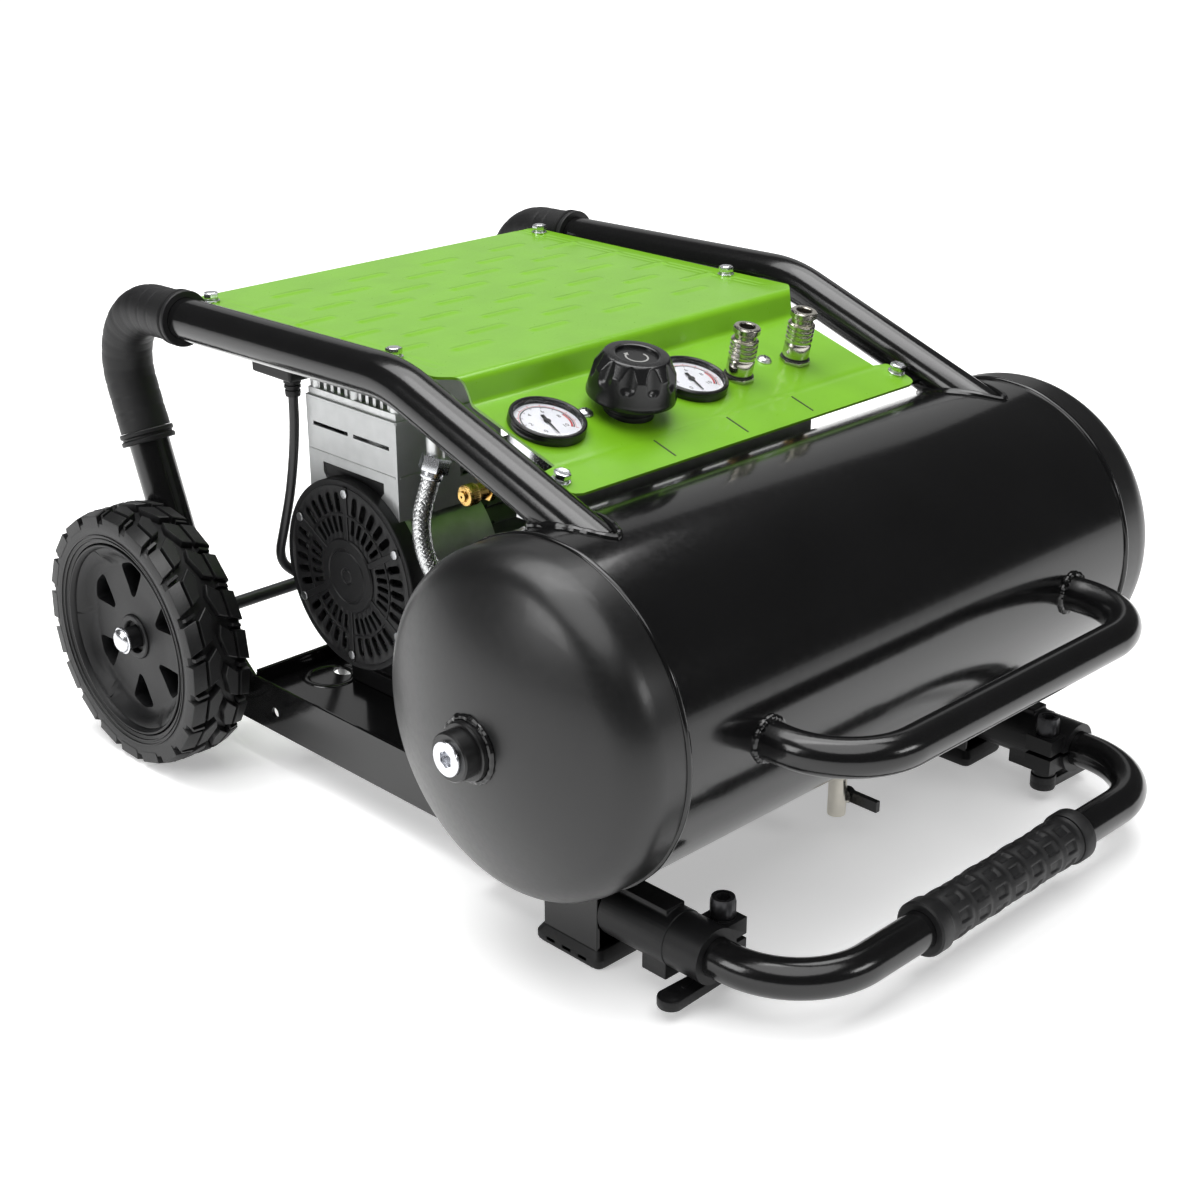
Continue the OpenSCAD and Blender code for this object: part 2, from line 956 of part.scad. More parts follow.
// Hexagon bolt with washer and spring washer, its seat at Z = 0
module bolt() {
    difference() {
        union() {
            cylinder(r = 6.2, h = 1.2);
            translate([0, 0, 1.2])
                cylinder(r = 5, h = 1.4);
            translate([0, 0, 2.6])
                cylinder(r = 5.6, h = 4, $fn = 6);
            translate([0, 0, -14])
                cylinder(r = 3, h = 16);
        }
        translate([0, 0, 5.4])
            cylinder(r = 3.4, h = 3);
    }
    translate([0, 0, -sheet_t - tab_t - 5])
        difference() {
            cylinder(r = 5.6, h = 5, $fn = 6);
            translate([0, 0, -1])
                cylinder(r = 3, h = 7);
        }
}

module panel_screw() {
    difference() {
        union() {
            intersection() {
                translate([0, 0, -3])
                    sphere(r = 6.4);
                cylinder(r = 5, h = 4);
            }
            cylinder(r = 5.4, h = 0.8);
            translate([0, 0, -30])
                cylinder(r = 2.5, h = 31);
        }
        translate([-2.5, -0.5, 2])
            cube([5, 1, 4]);
        translate([-0.5, -2.5, 2])
            cube([1, 5, 4]);
    }
}

module cover_fasteners() {
    color("#c9ccd0") {
        both_sides() {
            for (y = top_bolt_y)
                translate([top_bolt_x, y, cover_z])
                    bolt();
            on_panel(strip_bolt_x, strip_bolt_y)
                bolt();
        }
        for (x = panel_screw_x)
            on_panel(x, panel_screw_y)
                panel_screw();
    }
}

module each_gauge() {
    for (x = gauge_x)
        on_panel(x, gauge_y)
            children();
}

module gauge_cases() {
    color("#17181a")
        each_gauge()
            difference() {
                union() {
                    cylinder(r = gauge_r, h = gauge_rise);
                    translate([0, 0, -20])
                        cylinder(r = gauge_case_r, h = 21);
                    translate([0, 0, -30])
                        cylinder(r = 6, h = 12);
                }
                translate([0, 0, dial_n])
                    cylinder(r = gauge_glass_r, h = 10);
                translate([0, 0, -10])
                    cylinder(r = 0.7, h = 20);
            }
}

module gauge_dials() {
    color("#eef0f4")
        each_gauge() {
            difference() {
                translate([0, 0, dial_n])
                    cylinder(r = gauge_glass_r, h = dial_t);
                cylinder(r = 0.7, h = 10);
            }
            translate([0, 0, -6])
                cylinder(r = 0.7, h = 10.8);
        }
}

module gauge_lenses() {
    color("#dfe8ee")
        each_gauge()
            translate([0, 0, gauge_rise - 1.9])
                cylinder(r = gauge_glass_r, h = 1.2);
}

module needle(x) {
    color("#111111")
        on_panel(x, gauge_y)
            rotate([0, 0, -12])
                difference() {
                    union() {
                        translate([0, 0, needle_n])
                            cylinder(r = 2.4, h = needle_t);
                        translate([-0.6, -15, needle_n])
                            cube([1.2, 15, needle_t]);
                        translate([-1.2, 0, needle_n])
                            cube([2.4, 7, needle_t]);
                    }
                    cylinder(r = 0.75, h = 10);
                }
}

module tank_needle() {
    needle(gauge_x[0]);
}

module tool_needle() {
    needle(gauge_x[1]);
}

module regulator_body() {
    color("#1a1b1d")
        on_valve(regulator_x) {
            difference() {
                translate([0, 0, -1.5])
                    cylinder(r = 17, h = 11);
                translate([0, 0, -5])
                    cylinder(r = 7, h = 20);
            }
            difference() {
                translate([0, 0, -34])
                    cylinder(r = 15.5, h = 33);
                translate([0, 0, -40])
                    cylinder(r = 7, h = 50);
            }
            translate([0, 0, -34])
                cylinder(r = 7, h = 58);
        }
}

// Fluted hand knob with a deep skirt and a dished top
module regulator_knob() {
    color("#1e1f21")
        on_valve(regulator_x)
            difference() {
                union() {
                    translate([0, 0, 11])
                        cylinder(r = 29.5, h = 3);
                    translate([0, 0, 14])
                        cylinder(r1 = 29.5, r2 = 26.5, h = 17);
                    translate([0, 0, 31])
                        cylinder(r1 = 26.5, r2 = 21, h = 9);
                }
                translate([0, 0, 10])
                    cylinder(r = 25, h = 9);
                translate([0, 0, 10])
                    cylinder(r = 7 + fit_gap, h = 14.5);
                translate([0, 0, 37.5])
                    cylinder(r = 14, h = 5);
                for (k = [0:9])
                    rotate([0, 0, 36 * k])
                        translate([30, 0, 22])
                            cylinder(r = 5.5, h = 22);
            }
}

module coupler_bodies() {
    color("#c8c4b8")
        for (x = coupler_x)
            on_valve(x)
                difference() {
                    union() {
                        translate([0, 0, -32])
                            cylinder(r = 8, h = 30);
                        translate([0, 0, -3])
                            cylinder(r = 11, h = 5.4, $fn = 6);
                        cylinder(r = 7.6, h = 38);
                        translate([0, 0, 33])
                            cylinder(r = 9.3, h = 5);
                    }
                    translate([0, 0, 12])
                        cylinder(r = 5.2, h = 27);
                    translate([0, 0, -40])
                        cylinder(r = 3, h = 60);
                }
}

// Spring sleeve of a quick coupling, with its grip ridges
module coupler_sleeve(x) {
    color("#cfcabd")
        on_valve(x)
            difference() {
                union() {
                    translate([0, 0, 3.2])
                        cylinder(r = 9, h = 26);
                    translate([0, 0, 3.2])
                        cylinder(r = 9.4, h = 11);
                    for (k = [0:3])
                        translate([0, 0, 16 + 3.4 * k])
                            cylinder(r = 9.6, h = 2.2);
                }
                translate([0, 0, 2])
                    cylinder(r = 7.6 + fit_gap, h = 30);
            }
}

module coupler_sleeve_inner() {
    coupler_sleeve(coupler_x[0]);
}

module coupler_sleeve_outer() {
    coupler_sleeve(coupler_x[1]);
}

// ---------- air circuit ----------

module manifold() {
    lo = [-142, manifold_y - manifold_half, manifold_z - manifold_half];
    hi = [118, manifold_y + manifold_half, manifold_z + manifold_half];
    color("#a9adb1")
        difference() {
            union() {
                block(lo, hi);
                rod_y([-128, manifold_y, manifold_z - 3], 7, 52);
                for (x = gauge_x)
                    translate([x, manifold_y + 4, manifold_z])
                        cylinder(r = 7, h = 22);
            }
            for (x = gauge_x)
                on_panel(x, gauge_y)
                    translate([0, 0, -30])
                        cylinder(r = 6, h = 40);
            on_valve(regulator_x)
                translate([0, 0, -34])
                    cylinder(r = 15.5, h = 40);
            for (x = coupler_x)
                on_valve(x)
                    translate([0, 0, -32])
                        cylinder(r = 8, h = 40);
            for (x = panel_screw_x)
                on_panel(x, panel_screw_y)
                    translate([0, 0, -32])
                        cylinder(r = 2.5, h = 40);
            rod_x([-160, -20, manifold_z - 3], 5.02, 32.8);
        }
}

module safety_valve() {
    color("#c9993a")
        translate([safety_x, -20, manifold_z - 3])
            rotate([0, -90, 0])
                difference() {
                    union() {
                        translate([0, 0, -8])
                            cylinder(r = 5, h = 9);
                        cylinder(r = 8, h = 5, $fn = 6);
                        translate([0, 0, 5])
                            cylinder(r = 6, h = 10);
                        translate([0, 0, 14])
                            cylinder(r = 7.2, h = 9);
                    }
                    translate([0, 0, 3])
                        cylinder(r = 1.6 + fit_gap, h = 25);
                }
}

module safety_stem() {
    color("#d8b25a")
        translate([safety_x, -20, manifold_z - 3])
            rotate([0, -90, 0])
                difference() {
                    union() {
                        translate([0, 0, 8])
                            cylinder(r = 1.6, h = 16);
                        translate([0, 0, 23.2])
                            cylinder(r = 3.4, h = 2);
                    }
                    translate([0, 0, 20])
                        cylinder(r = 0.8, h = 10);
                }
}

module check_valve() {
    up = unit(hose_corner - valve_elbow);
    color("#c9993a")
        difference() {
            union() {
                rod_along(valve_root - valve_dir * 6, valve_dir, 8, 26);
                translate(valve_elbow)
                    sphere(r = 9.5);
                rod_along(valve_elbow, up, 8, valve_l);
                rod_along(valve_elbow + up * 9, up, 11, 9, $fn = 6);
            }
            tank_solid(tank_r, shell_half);
        }
}

// Lower end of the outlet pipe, inside the hose's swivel nut
function pipe_start() = hose_top + unit(hose_top - hose_corner) * 12;

// Places a flat drawing in the plane through a corner and two other points
module in_plane(c, a, b) {
    u = unit(a - c);
    w = unit(cross(a - c, b - c));
    v = cross(w, u);
    multmatrix([[u[0], v[0], w[0], c[0]], [u[1], v[1], w[1], c[1]], [u[2], v[2], w[2], c[2]]])
        children();
}

module delivery_hose() {
    low = valve_elbow + unit(hose_corner - valve_elbow) * valve_l;
    reach = norm(hose_top - hose_corner);
    u = unit(hose_top - hose_corner);
    side = low - hose_corner;
    along_u = side * u;
    across = norm(side - along_u * u);
    color("#b6b9bc") {
        in_plane(hose_corner, hose_top, low)
            bar([[reach, 0], [0, 0], [along_u, across]], [0, hose_bend_r, 0], hose_r);
        rod_along(hose_top - u, u, 7.8, 6);
        difference() {
            rod_along(hose_top + u * 4.98, u, 10.5, 10, $fn = 6);
            rod_along(pipe_start(), unit(outlet_top - pipe_start()), 6.03, 20);
        }
    }
}

module drain_valve() {
    color("#b8b4a6")
        translate([drain_xy[0], drain_xy[1], 0])
            difference() {
                union() {
                    translate([0, 0, 50])
                        cylinder(r = 10, h = 7, $fn = 6);
                    translate([0, 0, 20])
                        cylinder(r = 6.5, h = 31);
                    translate([0, 0, 30])
                        rotate([0, 90, 0])
                            cylinder(r = 5, h = 9);
                }
                translate([0, 0, 15])
                    cylinder(r = 2.5, h = 30);
                translate([7, 0, 30])
                    rotate([0, 90, 0])
                        cylinder(r = 2 + fit_gap, h = 12);
            }
}

module drain_lever() {
    color("#1d1e20")
        translate([drain_xy[0] + 9.4, drain_xy[1], 30]) {
            rotate([0, 90, 0]) {
                cylinder(r = 5.5, h = 5);
                translate([0, 0, -2])
                    cylinder(r = 2, h = 3);
            }
            translate([0.5, -26, -4])
                cube([4, 24, 8]);
        }
}

// ---------- switch and lead ----------

module switch_box() {
    color("#1b1c1e")
        difference() {
            block(box_lo, box_hi);
            translate([-143, box_hi[1] - 6, 312])
                rotate([-90, 0, 0])
                    cylinder(r = 4 + fit_gap, h = 10);
            translate([gland_xy[0], gland_xy[1], box_lo[2] - 1])
                cylinder(r = 8, h = gland_low + gland_l - box_lo[2] + 1);
        }
}

module switch_knob() {
    color("#b01818")
        translate([-143, box_hi[1] - 5, 312])
            rotate([-90, 0, 0]) {
                cylinder(r = 4, h = 13);
                translate([0, 0, 12])
                    cylinder(r = 11, h = 8);
            }
}

module cord_gland() {
    color("#17181a")
        translate([gland_xy[0], gland_xy[1], gland_low])
            union() {
                cylinder(r1 = 5, r2 = 7, h = gland_l - 4);
                translate([0, 0, gland_l - 4])
                    cylinder(r = 8, h = 4);
            }
}

module power_cord() {
    color("#111214")
        swept(cord_route, cord_r, 10);
}

module cord_coil() {
    color("#111214")
        translate([coil_at[0], coil_at[1], 0.1])
            rotate_extrude()
                translate([coil_hole_r, 0])
                    square([coil_r - coil_hole_r, coil_h]);
}

// Mains plug lying beside the coil, with its strain relief and three blades
module plug() {
    tail = 64;
    color("#17181a")
        translate([plug_at[0], plug_at[1], 0]) {
            translate([-20, -17, 0])
                cube([38, 34, 28]);
            rod_x([-tail, 0, 10], 4.5, tail);
            for (p = [[18, -8, 15], [18, 8, 15], [18, 0, 7]])
                translate([p[0] - 1, p[1] - 3, p[2]])
                    cube([18, 6, 3]);
        }
}

// ---------- motor and pump ----------

module motor_axis(x) {
    translate([x, motor_y, motor_z])
        rotate([0, 90, 0])
            children();
}

module motor_housing() {
    l = housing_x[1] - housing_x[0];
    color("#5b5e61")
        motor_axis(housing_x[0])
            difference() {
                union() {
                    cylinder(r = housing_r - 4, h = l);
                    for (k = [0:29])
                        rotate([0, 0, 12 * k])
                            translate([housing_r - 5, -1, 3])
                                cube([5, 2, l - 18]);
                    translate([0, 0, l - 12])
                        cylinder(r = housing_r, h = 12);
                }
                translate([0, 0, -1])
                    cylinder(r = housing_r - 8, h = l - 8);
                translate([0, 0, l - 20])
                    cylinder(r = shaft_r + fit_gap, h = 40);
                for (k = [0:7])
                    rotate([0, 0, 45 * k])
                        translate([34, 0, l - 12])
                            cylinder(r = 8, h = 20);
            }
}

module motor_mounts() {
    top = motor_z;
    color("#1b1c1e")
        difference() {
            for (x = [-118, 0]) {
                block([x - 14, motor_y - 44, tray_floor + tray_t],
                    [x + 14, motor_y + 44, tray_floor + tray_t + 14]);
                block([x - 10, motor_y - 34, tray_floor + tray_t],
                    [x + 10, motor_y + 34, top - 30]);
            }
            motor_axis(-140)
                cylinder(r = housing_r, h = 200);
        }
}

module stator() {
    color("#8a5a33")
        motor_axis(-58)
            difference() {
                cylinder(r = housing_r - 8, h = 72);
                translate([0, 0, -1])
                    cylinder(r = 33, h = 80);
            }
}

module rotor() {
    color("#9b9ea1")
        motor_axis(0) {
            translate([0, 0, -56])
                cylinder(r = 32, h = 68);
            translate([0, 0, -150])
                cylinder(r = shaft_r, h = 194);
            translate([0, 0, pump_x - 8])
                cylinder(r = journal_r, h = 16);
        }
}

module cooling_fan() {
    color("#202123")
        motor_axis(-146)
            difference() {
                union() {
                    cylinder(r = 16, h = 10);
                    cylinder(r = 54, h = 1.5);
                    for (k = [0:8])
                        rotate([0, 0, 40 * k])
                            translate([15, -1, 0])
                                cube([38, 2, 10]);
                }
                translate([0, 0, -1])
                    cylinder(r = shaft_r, h = 12);
            }
}

// Round guard with two rings of radial slots round a raised centre
module fan_grille() {
    color("#1b1c1e")
        motor_axis(grille_x)
            difference() {
                union() {
                    cylinder(r = grille_r, h = grille_t);
                    translate([0, 0, -2])
                        cylinder(r = 27, h = 3);
                }
                translate([0, 0, 3])
                    cylinder(r = grille_r - 4, h = grille_t);
                for (k = [0:35])
                    if (k % 6 > 0)
                        rotate([0, 0, 10 * k]) {
                            translate([31, -1.6, -1])
                                cube([12, 3.2, 6]);
                            translate([45.5, -2.2, -1])
                                cube([14, 4.4, 6]);
                        }
            }
}

module crankcase() {
    l = crankcase_x[1] - crankcase_x[0];
    color("#63666a")
        difference() {
            union() {
                motor_axis(crankcase_x[0] - 18)
                    cylinder(r = housing_r + 3, h = 18);
                motor_axis(crankcase_x[0])
                    cylinder(r = housing_r, h = l);
                translate([pump_x, motor_y, motor_z])
                    cylinder(r = bore_d / 2 + 6, h = cyl_top - motor_z);
                for (k = [0:5])
                    translate([pump_x, motor_y, motor_z + 68 + 8 * k])
                        cylinder(r = bore_d / 2 + 11, h = 2.5);
            }
            motor_axis(crankcase_x[0] - 19)
                cylinder(r = housing_r - 3, h = 17);
            motor_axis(crankcase_x[0] + 3)
                cylinder(r = housing_r - 6, h = l - 6);
            motor_axis(-160)
                cylinder(r = shaft_r + fit_gap, h = 100);
            translate([pump_x, motor_y, motor_z])
                cylinder(r = bore_d / 2, h = 140);
            block([crankcase_x[1], motor_y - 50, motor_z - 10],
                [crankcase_x[1] + 30, motor_y + 50, motor_z + housing_r + 1]);
        }
}

module piston() {
    crown = cyl_top - 18;
    color("#c7cacc")
        difference() {
            union() {
                translate([pump_x, motor_y, crown - 6])
                    cylinder(r = bore_d / 2 - 0.4, h = 6);
                block([pump_x - 5, motor_y - 8, motor_z + crank_r],
                    [pump_x + 5, motor_y + 8, crown - 5]);
                motor_axis(pump_x - 6)
                    translate([-crank_r, 0, 0])
                        cylinder(r = big_end_r, h = 12);
            }
            motor_axis(pump_x - 10)
                cylinder(r = journal_r + 0.3, h = 20);
        }
}

// Finned head with its screw posts and the intake filter on the inner side
module cylinder_head() {
    fins = 13;
    lo = [cowl_lo[0] + cowl_t, cowl_lo[1] + cowl_t, cyl_top];
    hi = [cowl_hi[0] - cowl_t, cowl_hi[1] - cowl_t, cyl_top + 8];
    pitch = (hi[1] - lo[1] - 3) / (fins - 1);
    color("#c2c5c8") {
        block(lo, hi);
        for (k = [0:fins - 1])
            block([lo[0] + 2, lo[1] + k * pitch, hi[2]],
                [hi[0] - 2, lo[1] + k * pitch + 3, head_top]);
        for (x = [lo[0] + 5, hi[0] - 5], y = [lo[1] + 5, (lo[1] + hi[1]) / 2, hi[1] - 5])
            translate([x, y, hi[2] - eps])
                cylinder(r = 4.5, h = head_top - hi[2] + 1);
    }
    top = pipe_start();
    color("#c2c5c8") {
        rod_along(top, outlet_top - top, 6, norm(outlet_top - top));
        translate(outlet_top)
            sphere(r = 7.5);
        rod_y(outlet_top, 6, lo[1] + 1 - outlet_top[1]);
    }
    color("#1b1c1e")
        rod_x([hi[0], motor_y, cyl_top + 16.3], 13, 26);
}

// Thin silver shroud that guides the fan's air over the cylinder
module cowl() {
    color("#c9cbce")
        difference() {
            block(cowl_lo, cowl_hi);
            block(cowl_lo + [cowl_t, cowl_t, -1], cowl_hi + [-cowl_t, -cowl_t, 1]);
            motor_axis(cowl_lo[0] - 5)
                cylinder(r = grille_r, h = 110);
            for (y = [cowl_lo[1] + 8, cowl_lo[1] + 52])
                block([cowl_lo[0] - 1, y, 262], [cowl_lo[0] + 3, y + 38, 264.5]);
            translate([cowl_lo[0] - 1, 0, 0])
                rotate([90, 0, 90])
                    linear_extrude(height = 4)
                        polygon([[66, 237], [132, 237], [132, 230], [122, 216], [80, 216],
                            [66, 230]]);
            block([-100, cowl_lo[1] - 1, 233], [-80, cowl_lo[1] + 3, 240]);
        }
    color("#1b1c1e")
        difference() {
            block([cowl_lo[0] + cowl_t, 62, 214], [cowl_lo[0] + cowl_t + 1.5, 136, 241]);
            motor_axis(cowl_lo[0] - 5)
                cylinder(r = grille_r, h = 110);
        }
}

// Puts the drawing's datum at its place behind the shared origin
module from_origin() {
    translate([0, datum_y, 0])
        children();
}

from_origin() tank_shell();
from_origin() tank_heads();
from_origin() tank_plugs();
from_origin() side_tube_left();
from_origin() side_tube_right();
from_origin() elbow_grips();
from_origin() cover_tabs();
from_origin() carry_bar();
from_origin() base_tray();
from_origin() guide_tubes();
from_origin() guide_sleeves();
from_origin() clamp_rings();
from_origin() clamp_screws();
from_origin() clamp_lever_left();
from_origin() clamp_lever_right();
from_origin() foot_brackets();
from_origin() rubber_feet();
from_origin() axle();
from_origin() axle_caps();
from_origin() wheel_left();
from_origin() tyre_left();
from_origin() wheel_right();
from_origin() tyre_right();
from_origin() handle_tube();
from_origin() handle_grip();
from_origin() top_cover();
from_origin() cover_fasteners();
from_origin() gauge_cases();
from_origin() gauge_dials();
from_origin() gauge_lenses();
from_origin() tank_needle();
from_origin() tool_needle();
from_origin() regulator_body();
from_origin() regulator_knob();
from_origin() coupler_bodies();
from_origin() coupler_sleeve_inner();
from_origin() coupler_sleeve_outer();
from_origin() manifold();
from_origin() switch_box();
from_origin() switch_knob();
from_origin() cord_gland();
from_origin() safety_valve();
from_origin() safety_stem();
from_origin() check_valve();
from_origin() delivery_hose();
from_origin() drain_valve();
from_origin() drain_lever();
from_origin() motor_housing();
from_origin() motor_mounts();
from_origin() stator();
from_origin() rotor();
from_origin() cooling_fan();
from_origin() fan_grille();
from_origin() crankcase();
from_origin() cylinder_head();
from_origin() cowl();
from_origin() piston();
from_origin() power_cord();
from_origin() cord_coil();
from_origin() plug();
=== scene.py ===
import json
import random
from math import asin, atan2, cos, degrees, exp, floor, hypot, pi, radians, sin, sqrt, tan

import bmesh
import bpy
import numpy as np
from mathutils import Matrix, Vector


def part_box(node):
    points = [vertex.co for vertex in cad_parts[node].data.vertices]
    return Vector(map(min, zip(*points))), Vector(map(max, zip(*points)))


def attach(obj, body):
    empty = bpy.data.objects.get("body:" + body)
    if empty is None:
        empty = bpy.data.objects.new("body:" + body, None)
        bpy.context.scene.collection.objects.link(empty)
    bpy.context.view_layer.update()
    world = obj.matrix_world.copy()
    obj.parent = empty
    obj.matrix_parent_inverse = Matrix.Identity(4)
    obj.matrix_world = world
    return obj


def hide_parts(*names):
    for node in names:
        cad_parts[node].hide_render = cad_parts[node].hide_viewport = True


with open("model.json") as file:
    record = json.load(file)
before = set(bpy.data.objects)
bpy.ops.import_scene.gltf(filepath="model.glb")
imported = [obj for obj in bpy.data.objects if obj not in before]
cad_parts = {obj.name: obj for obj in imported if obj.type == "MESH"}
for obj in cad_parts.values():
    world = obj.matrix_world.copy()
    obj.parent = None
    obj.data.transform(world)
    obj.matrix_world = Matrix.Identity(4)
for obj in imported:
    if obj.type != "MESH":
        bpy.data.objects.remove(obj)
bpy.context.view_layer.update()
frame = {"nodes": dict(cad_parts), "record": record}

MM = 0.001
random.seed(7)
scene = bpy.context.scene
scene.view_settings.view_transform = "Standard"
V = Vector
X, Y = V((1, 0, 0)), V((0, 1, 0))

# ---- driving sizes, in mm, the same as the CAD part's ----
TANK_Y, TANK_Z, TANK_R, HALF = -168.0, 170.0, 109.0, 224.0
SKIRT, CROWN, KNUCKLE = 15.0, 210.0, 30.0
DROP = sqrt((CROWN - KNUCKLE) ** 2 - (TANK_R - KNUCKLE) ** 2)
TIP = HALF + SKIRT + CROWN - DROP
FRAME_X = 189.5
AXLE = (249.5, 96.0)
HANDLE_X, HANDLE_Z, HANDLE_Y = 191.0, 37.5, -339.4
GRIP_SWELL = 134.0 / 7
CLAMP = (171, -259.5)
TILT, LEAN = radians(16.5), radians(11.0)
FOLD = (-26.5, 312.7)
MOTOR_Y, MOTOR_Z = 99.0, 163.5
VALVE_Y = -73.0

# Y places are measured from the drawing's datum. This is where the datum lies in the frame, in mm.
TANK_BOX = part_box("tank_shell")
DATUM_Y = round((TANK_BOX[0].y + TANK_BOX[1].y) / 2 / MM - TANK_Y, 2)


def panel_z(y):
    return FOLD[1] + (y - FOLD[0]) * tan(TILT)


def linked(name, data):
    """A new object of the scene."""
    ob = bpy.data.objects.new(name, data)
    scene.collection.objects.link(ob)
    return ob


# ---- camera ----
def camera():
    yaw, pitch = radians(44.79), radians(22.77)
    data = bpy.data.cameras.new("cam")
    data.lens, data.sensor_width = 59.82, 36.0
    data.clip_end = 30
    ob = linked("cam", data)
    look = V((sin(yaw) * cos(pitch), cos(yaw) * cos(pitch), -sin(pitch)))
    ob.location = (-0.9416, -0.9322 + DATUM_Y * MM, 0.6826)
    ob.rotation_euler = look.to_track_quat("-Z", "Y").to_euler()
    scene.camera = ob


camera()


# ---- materials ----
def material(name, color, rough, metal=0.0, coat=0.0, bump=0.0, scale=400.0, vary=0.12,
             rough_vary=0.06, coat_rough=0.05, spec=0.5, stretch=None, detail=4.0):
    """A surface with fine grain, slightly uneven colour and gloss, all from noise in object space."""
    m = bpy.data.materials.new(name)
    m.use_nodes = True
    n, l = m.node_tree.nodes, m.node_tree.links
    b = n["Principled BSDF"]
    b.inputs["Metallic"].default_value = metal
    b.inputs["Coat Weight"].default_value = coat
    b.inputs["Coat Roughness"].default_value = coat_rough
    b.inputs["Specular IOR Level"].default_value = spec
    co = n.new("ShaderNodeTexCoord")
    src = co.outputs["Object"]
    if stretch:
        mp = n.new("ShaderNodeMapping")
        mp.inputs["Scale"].default_value = stretch
        l.new(src, mp.inputs["Vector"])
        src = mp.outputs["Vector"]
    broad = n.new("ShaderNodeTexNoise")
    broad.inputs["Scale"].default_value = scale * 0.06
    broad.inputs["Detail"].default_value = 3.0
    l.new(src, broad.inputs["Vector"])
    fine = n.new("ShaderNodeTexNoise")
    fine.inputs["Scale"].default_value = scale
    fine.inputs["Detail"].default_value = detail
    l.new(src, fine.inputs["Vector"])
    ramp = n.new("ShaderNodeValToRGB")
    ramp.color_ramp.elements[0].position = 0.3
    ramp.color_ramp.elements[1].position = 0.7
    ramp.color_ramp.elements[0].color = (*[c * (1 - vary) for c in color], 1)
    ramp.color_ramp.elements[1].color = (*[min(1, c * (1 + vary)) for c in color], 1)
    l.new(broad.outputs["Fac"], ramp.inputs["Fac"])
    l.new(ramp.outputs["Color"], b.inputs["Base Color"])
    mr = n.new("ShaderNodeMapRange")
    mr.inputs["To Min"].default_value = max(0.02, rough - rough_vary)
    mr.inputs["To Max"].default_value = min(1.0, rough + rough_vary)
    l.new(fine.outputs["Fac"], mr.inputs["Value"])
    l.new(mr.outputs["Result"], b.inputs["Roughness"])
    if bump:
        bp = n.new("ShaderNodeBump")
        bp.inputs["Strength"].default_value = bump
        bp.inputs["Distance"].default_value = 0.0004
        l.new(fine.outputs["Fac"], bp.inputs["Height"])
        l.new(bp.outputs["Normal"], b.inputs["Normal"])
    return m


ENAMEL, SOOT, JET = (0.005, 0.005, 0.0052), (0.0085, 0.0085, 0.009), (0.012, 0.012, 0.013)
M = {
    "tank": material("tank_enamel", ENAMEL, 0.15, coat=0.12, spec=0.42, bump=0.05, scale=260),
    "dome": material("tank_head_enamel", (0.006, 0.006, 0.0062), 0.34, coat=0.05, spec=0.45, bump=0.05,
                     scale=260),
    "frame": material("frame_powder_coat", ENAMEL, 0.18, coat=0.15, spec=0.42, bump=0.08, scale=600),
    "tray": material("tray_powder_coat", ENAMEL, 0.15, coat=0.15, spec=0.42, bump=0.06, scale=500),
    "plastic": material("moulded_plastic", (0.006, 0.006, 0.0065), 0.42, bump=0.22, scale=2200, spec=0.3),
    "gloss_plastic": material("gloss_plastic", SOOT, 0.24, bump=0.08, scale=900),
    "rubber": material("grip_rubber", (0.0065, 0.0065, 0.007), 0.5, bump=0.3, scale=1500, spec=0.35),
    "tyre": material("tyre_rubber", (0.006, 0.006, 0.0064), 0.46, bump=0.35, scale=900, spec=0.42, vary=0.25),
    "green": material("green_powder_coat", (0.155, 0.385, 0.010), 0.3, coat=0.22, bump=0.03, scale=520,
                      vary=0.05, coat_rough=0.08),
    "zinc": material("zinc_plate", (0.72, 0.73, 0.76), 0.26, metal=1, bump=0.12, scale=900, vary=0.12),
    "dark_steel": material("black_oxide_steel", (0.045, 0.045, 0.048), 0.34, metal=0.7, bump=0.15,
                           scale=1400),
    "nickel": material("satin_nickel", (0.60, 0.575, 0.51), 0.2, metal=1, bump=0.08, scale=1200, vary=0.1),
    "steel": material("ground_steel", (0.52, 0.53, 0.54), 0.3, metal=1, bump=0.15, scale=900,
                      stretch=(1, 1, 6)),
    "brass": material("turned_brass", (0.62, 0.40, 0.13), 0.26, metal=1, bump=0.1, scale=1500, vary=0.1),
    "cowl": material("satin_silver_paint", (0.46, 0.47, 0.47), 0.36, metal=0.75, bump=0.12, scale=1600,
                     vary=0.05),
    "cast": material("cast_aluminium", (0.60, 0.61, 0.61), 0.4, metal=0.9, bump=0.5, scale=900, vary=0.14),
    "housing": material("housing_grey", (0.082, 0.088, 0.084), 0.42, metal=0.5, bump=0.25, scale=1100),
    "copper": material("winding_copper", (0.35, 0.12, 0.05), 0.4, metal=0.8, bump=0.3, scale=1200),
    "dial": material("dial_print", (0.80, 0.81, 0.86), 0.4, bump=0.02, scale=900, vary=0.02),
    "ink": material("black_ink", JET, 0.5, bump=0.04, scale=1200),
    "white_ink": material("pale_ink", (0.30, 0.30, 0.29), 0.4, bump=0.04, scale=1200, vary=0.03),
    "red_ink": material("red_ink", (0.55, 0.02, 0.02), 0.45, bump=0.04, scale=1200),
    "red": material("red_plastic", (0.45, 0.012, 0.012), 0.3, bump=0.1, scale=900),
    "cord": material("cord_jacket", JET, 0.38, bump=0.15, scale=1400),
    "braid": material("steel_braid", (0.56, 0.57, 0.57), 0.28, metal=1, bump=0.15, scale=1800, vary=0.2),
}


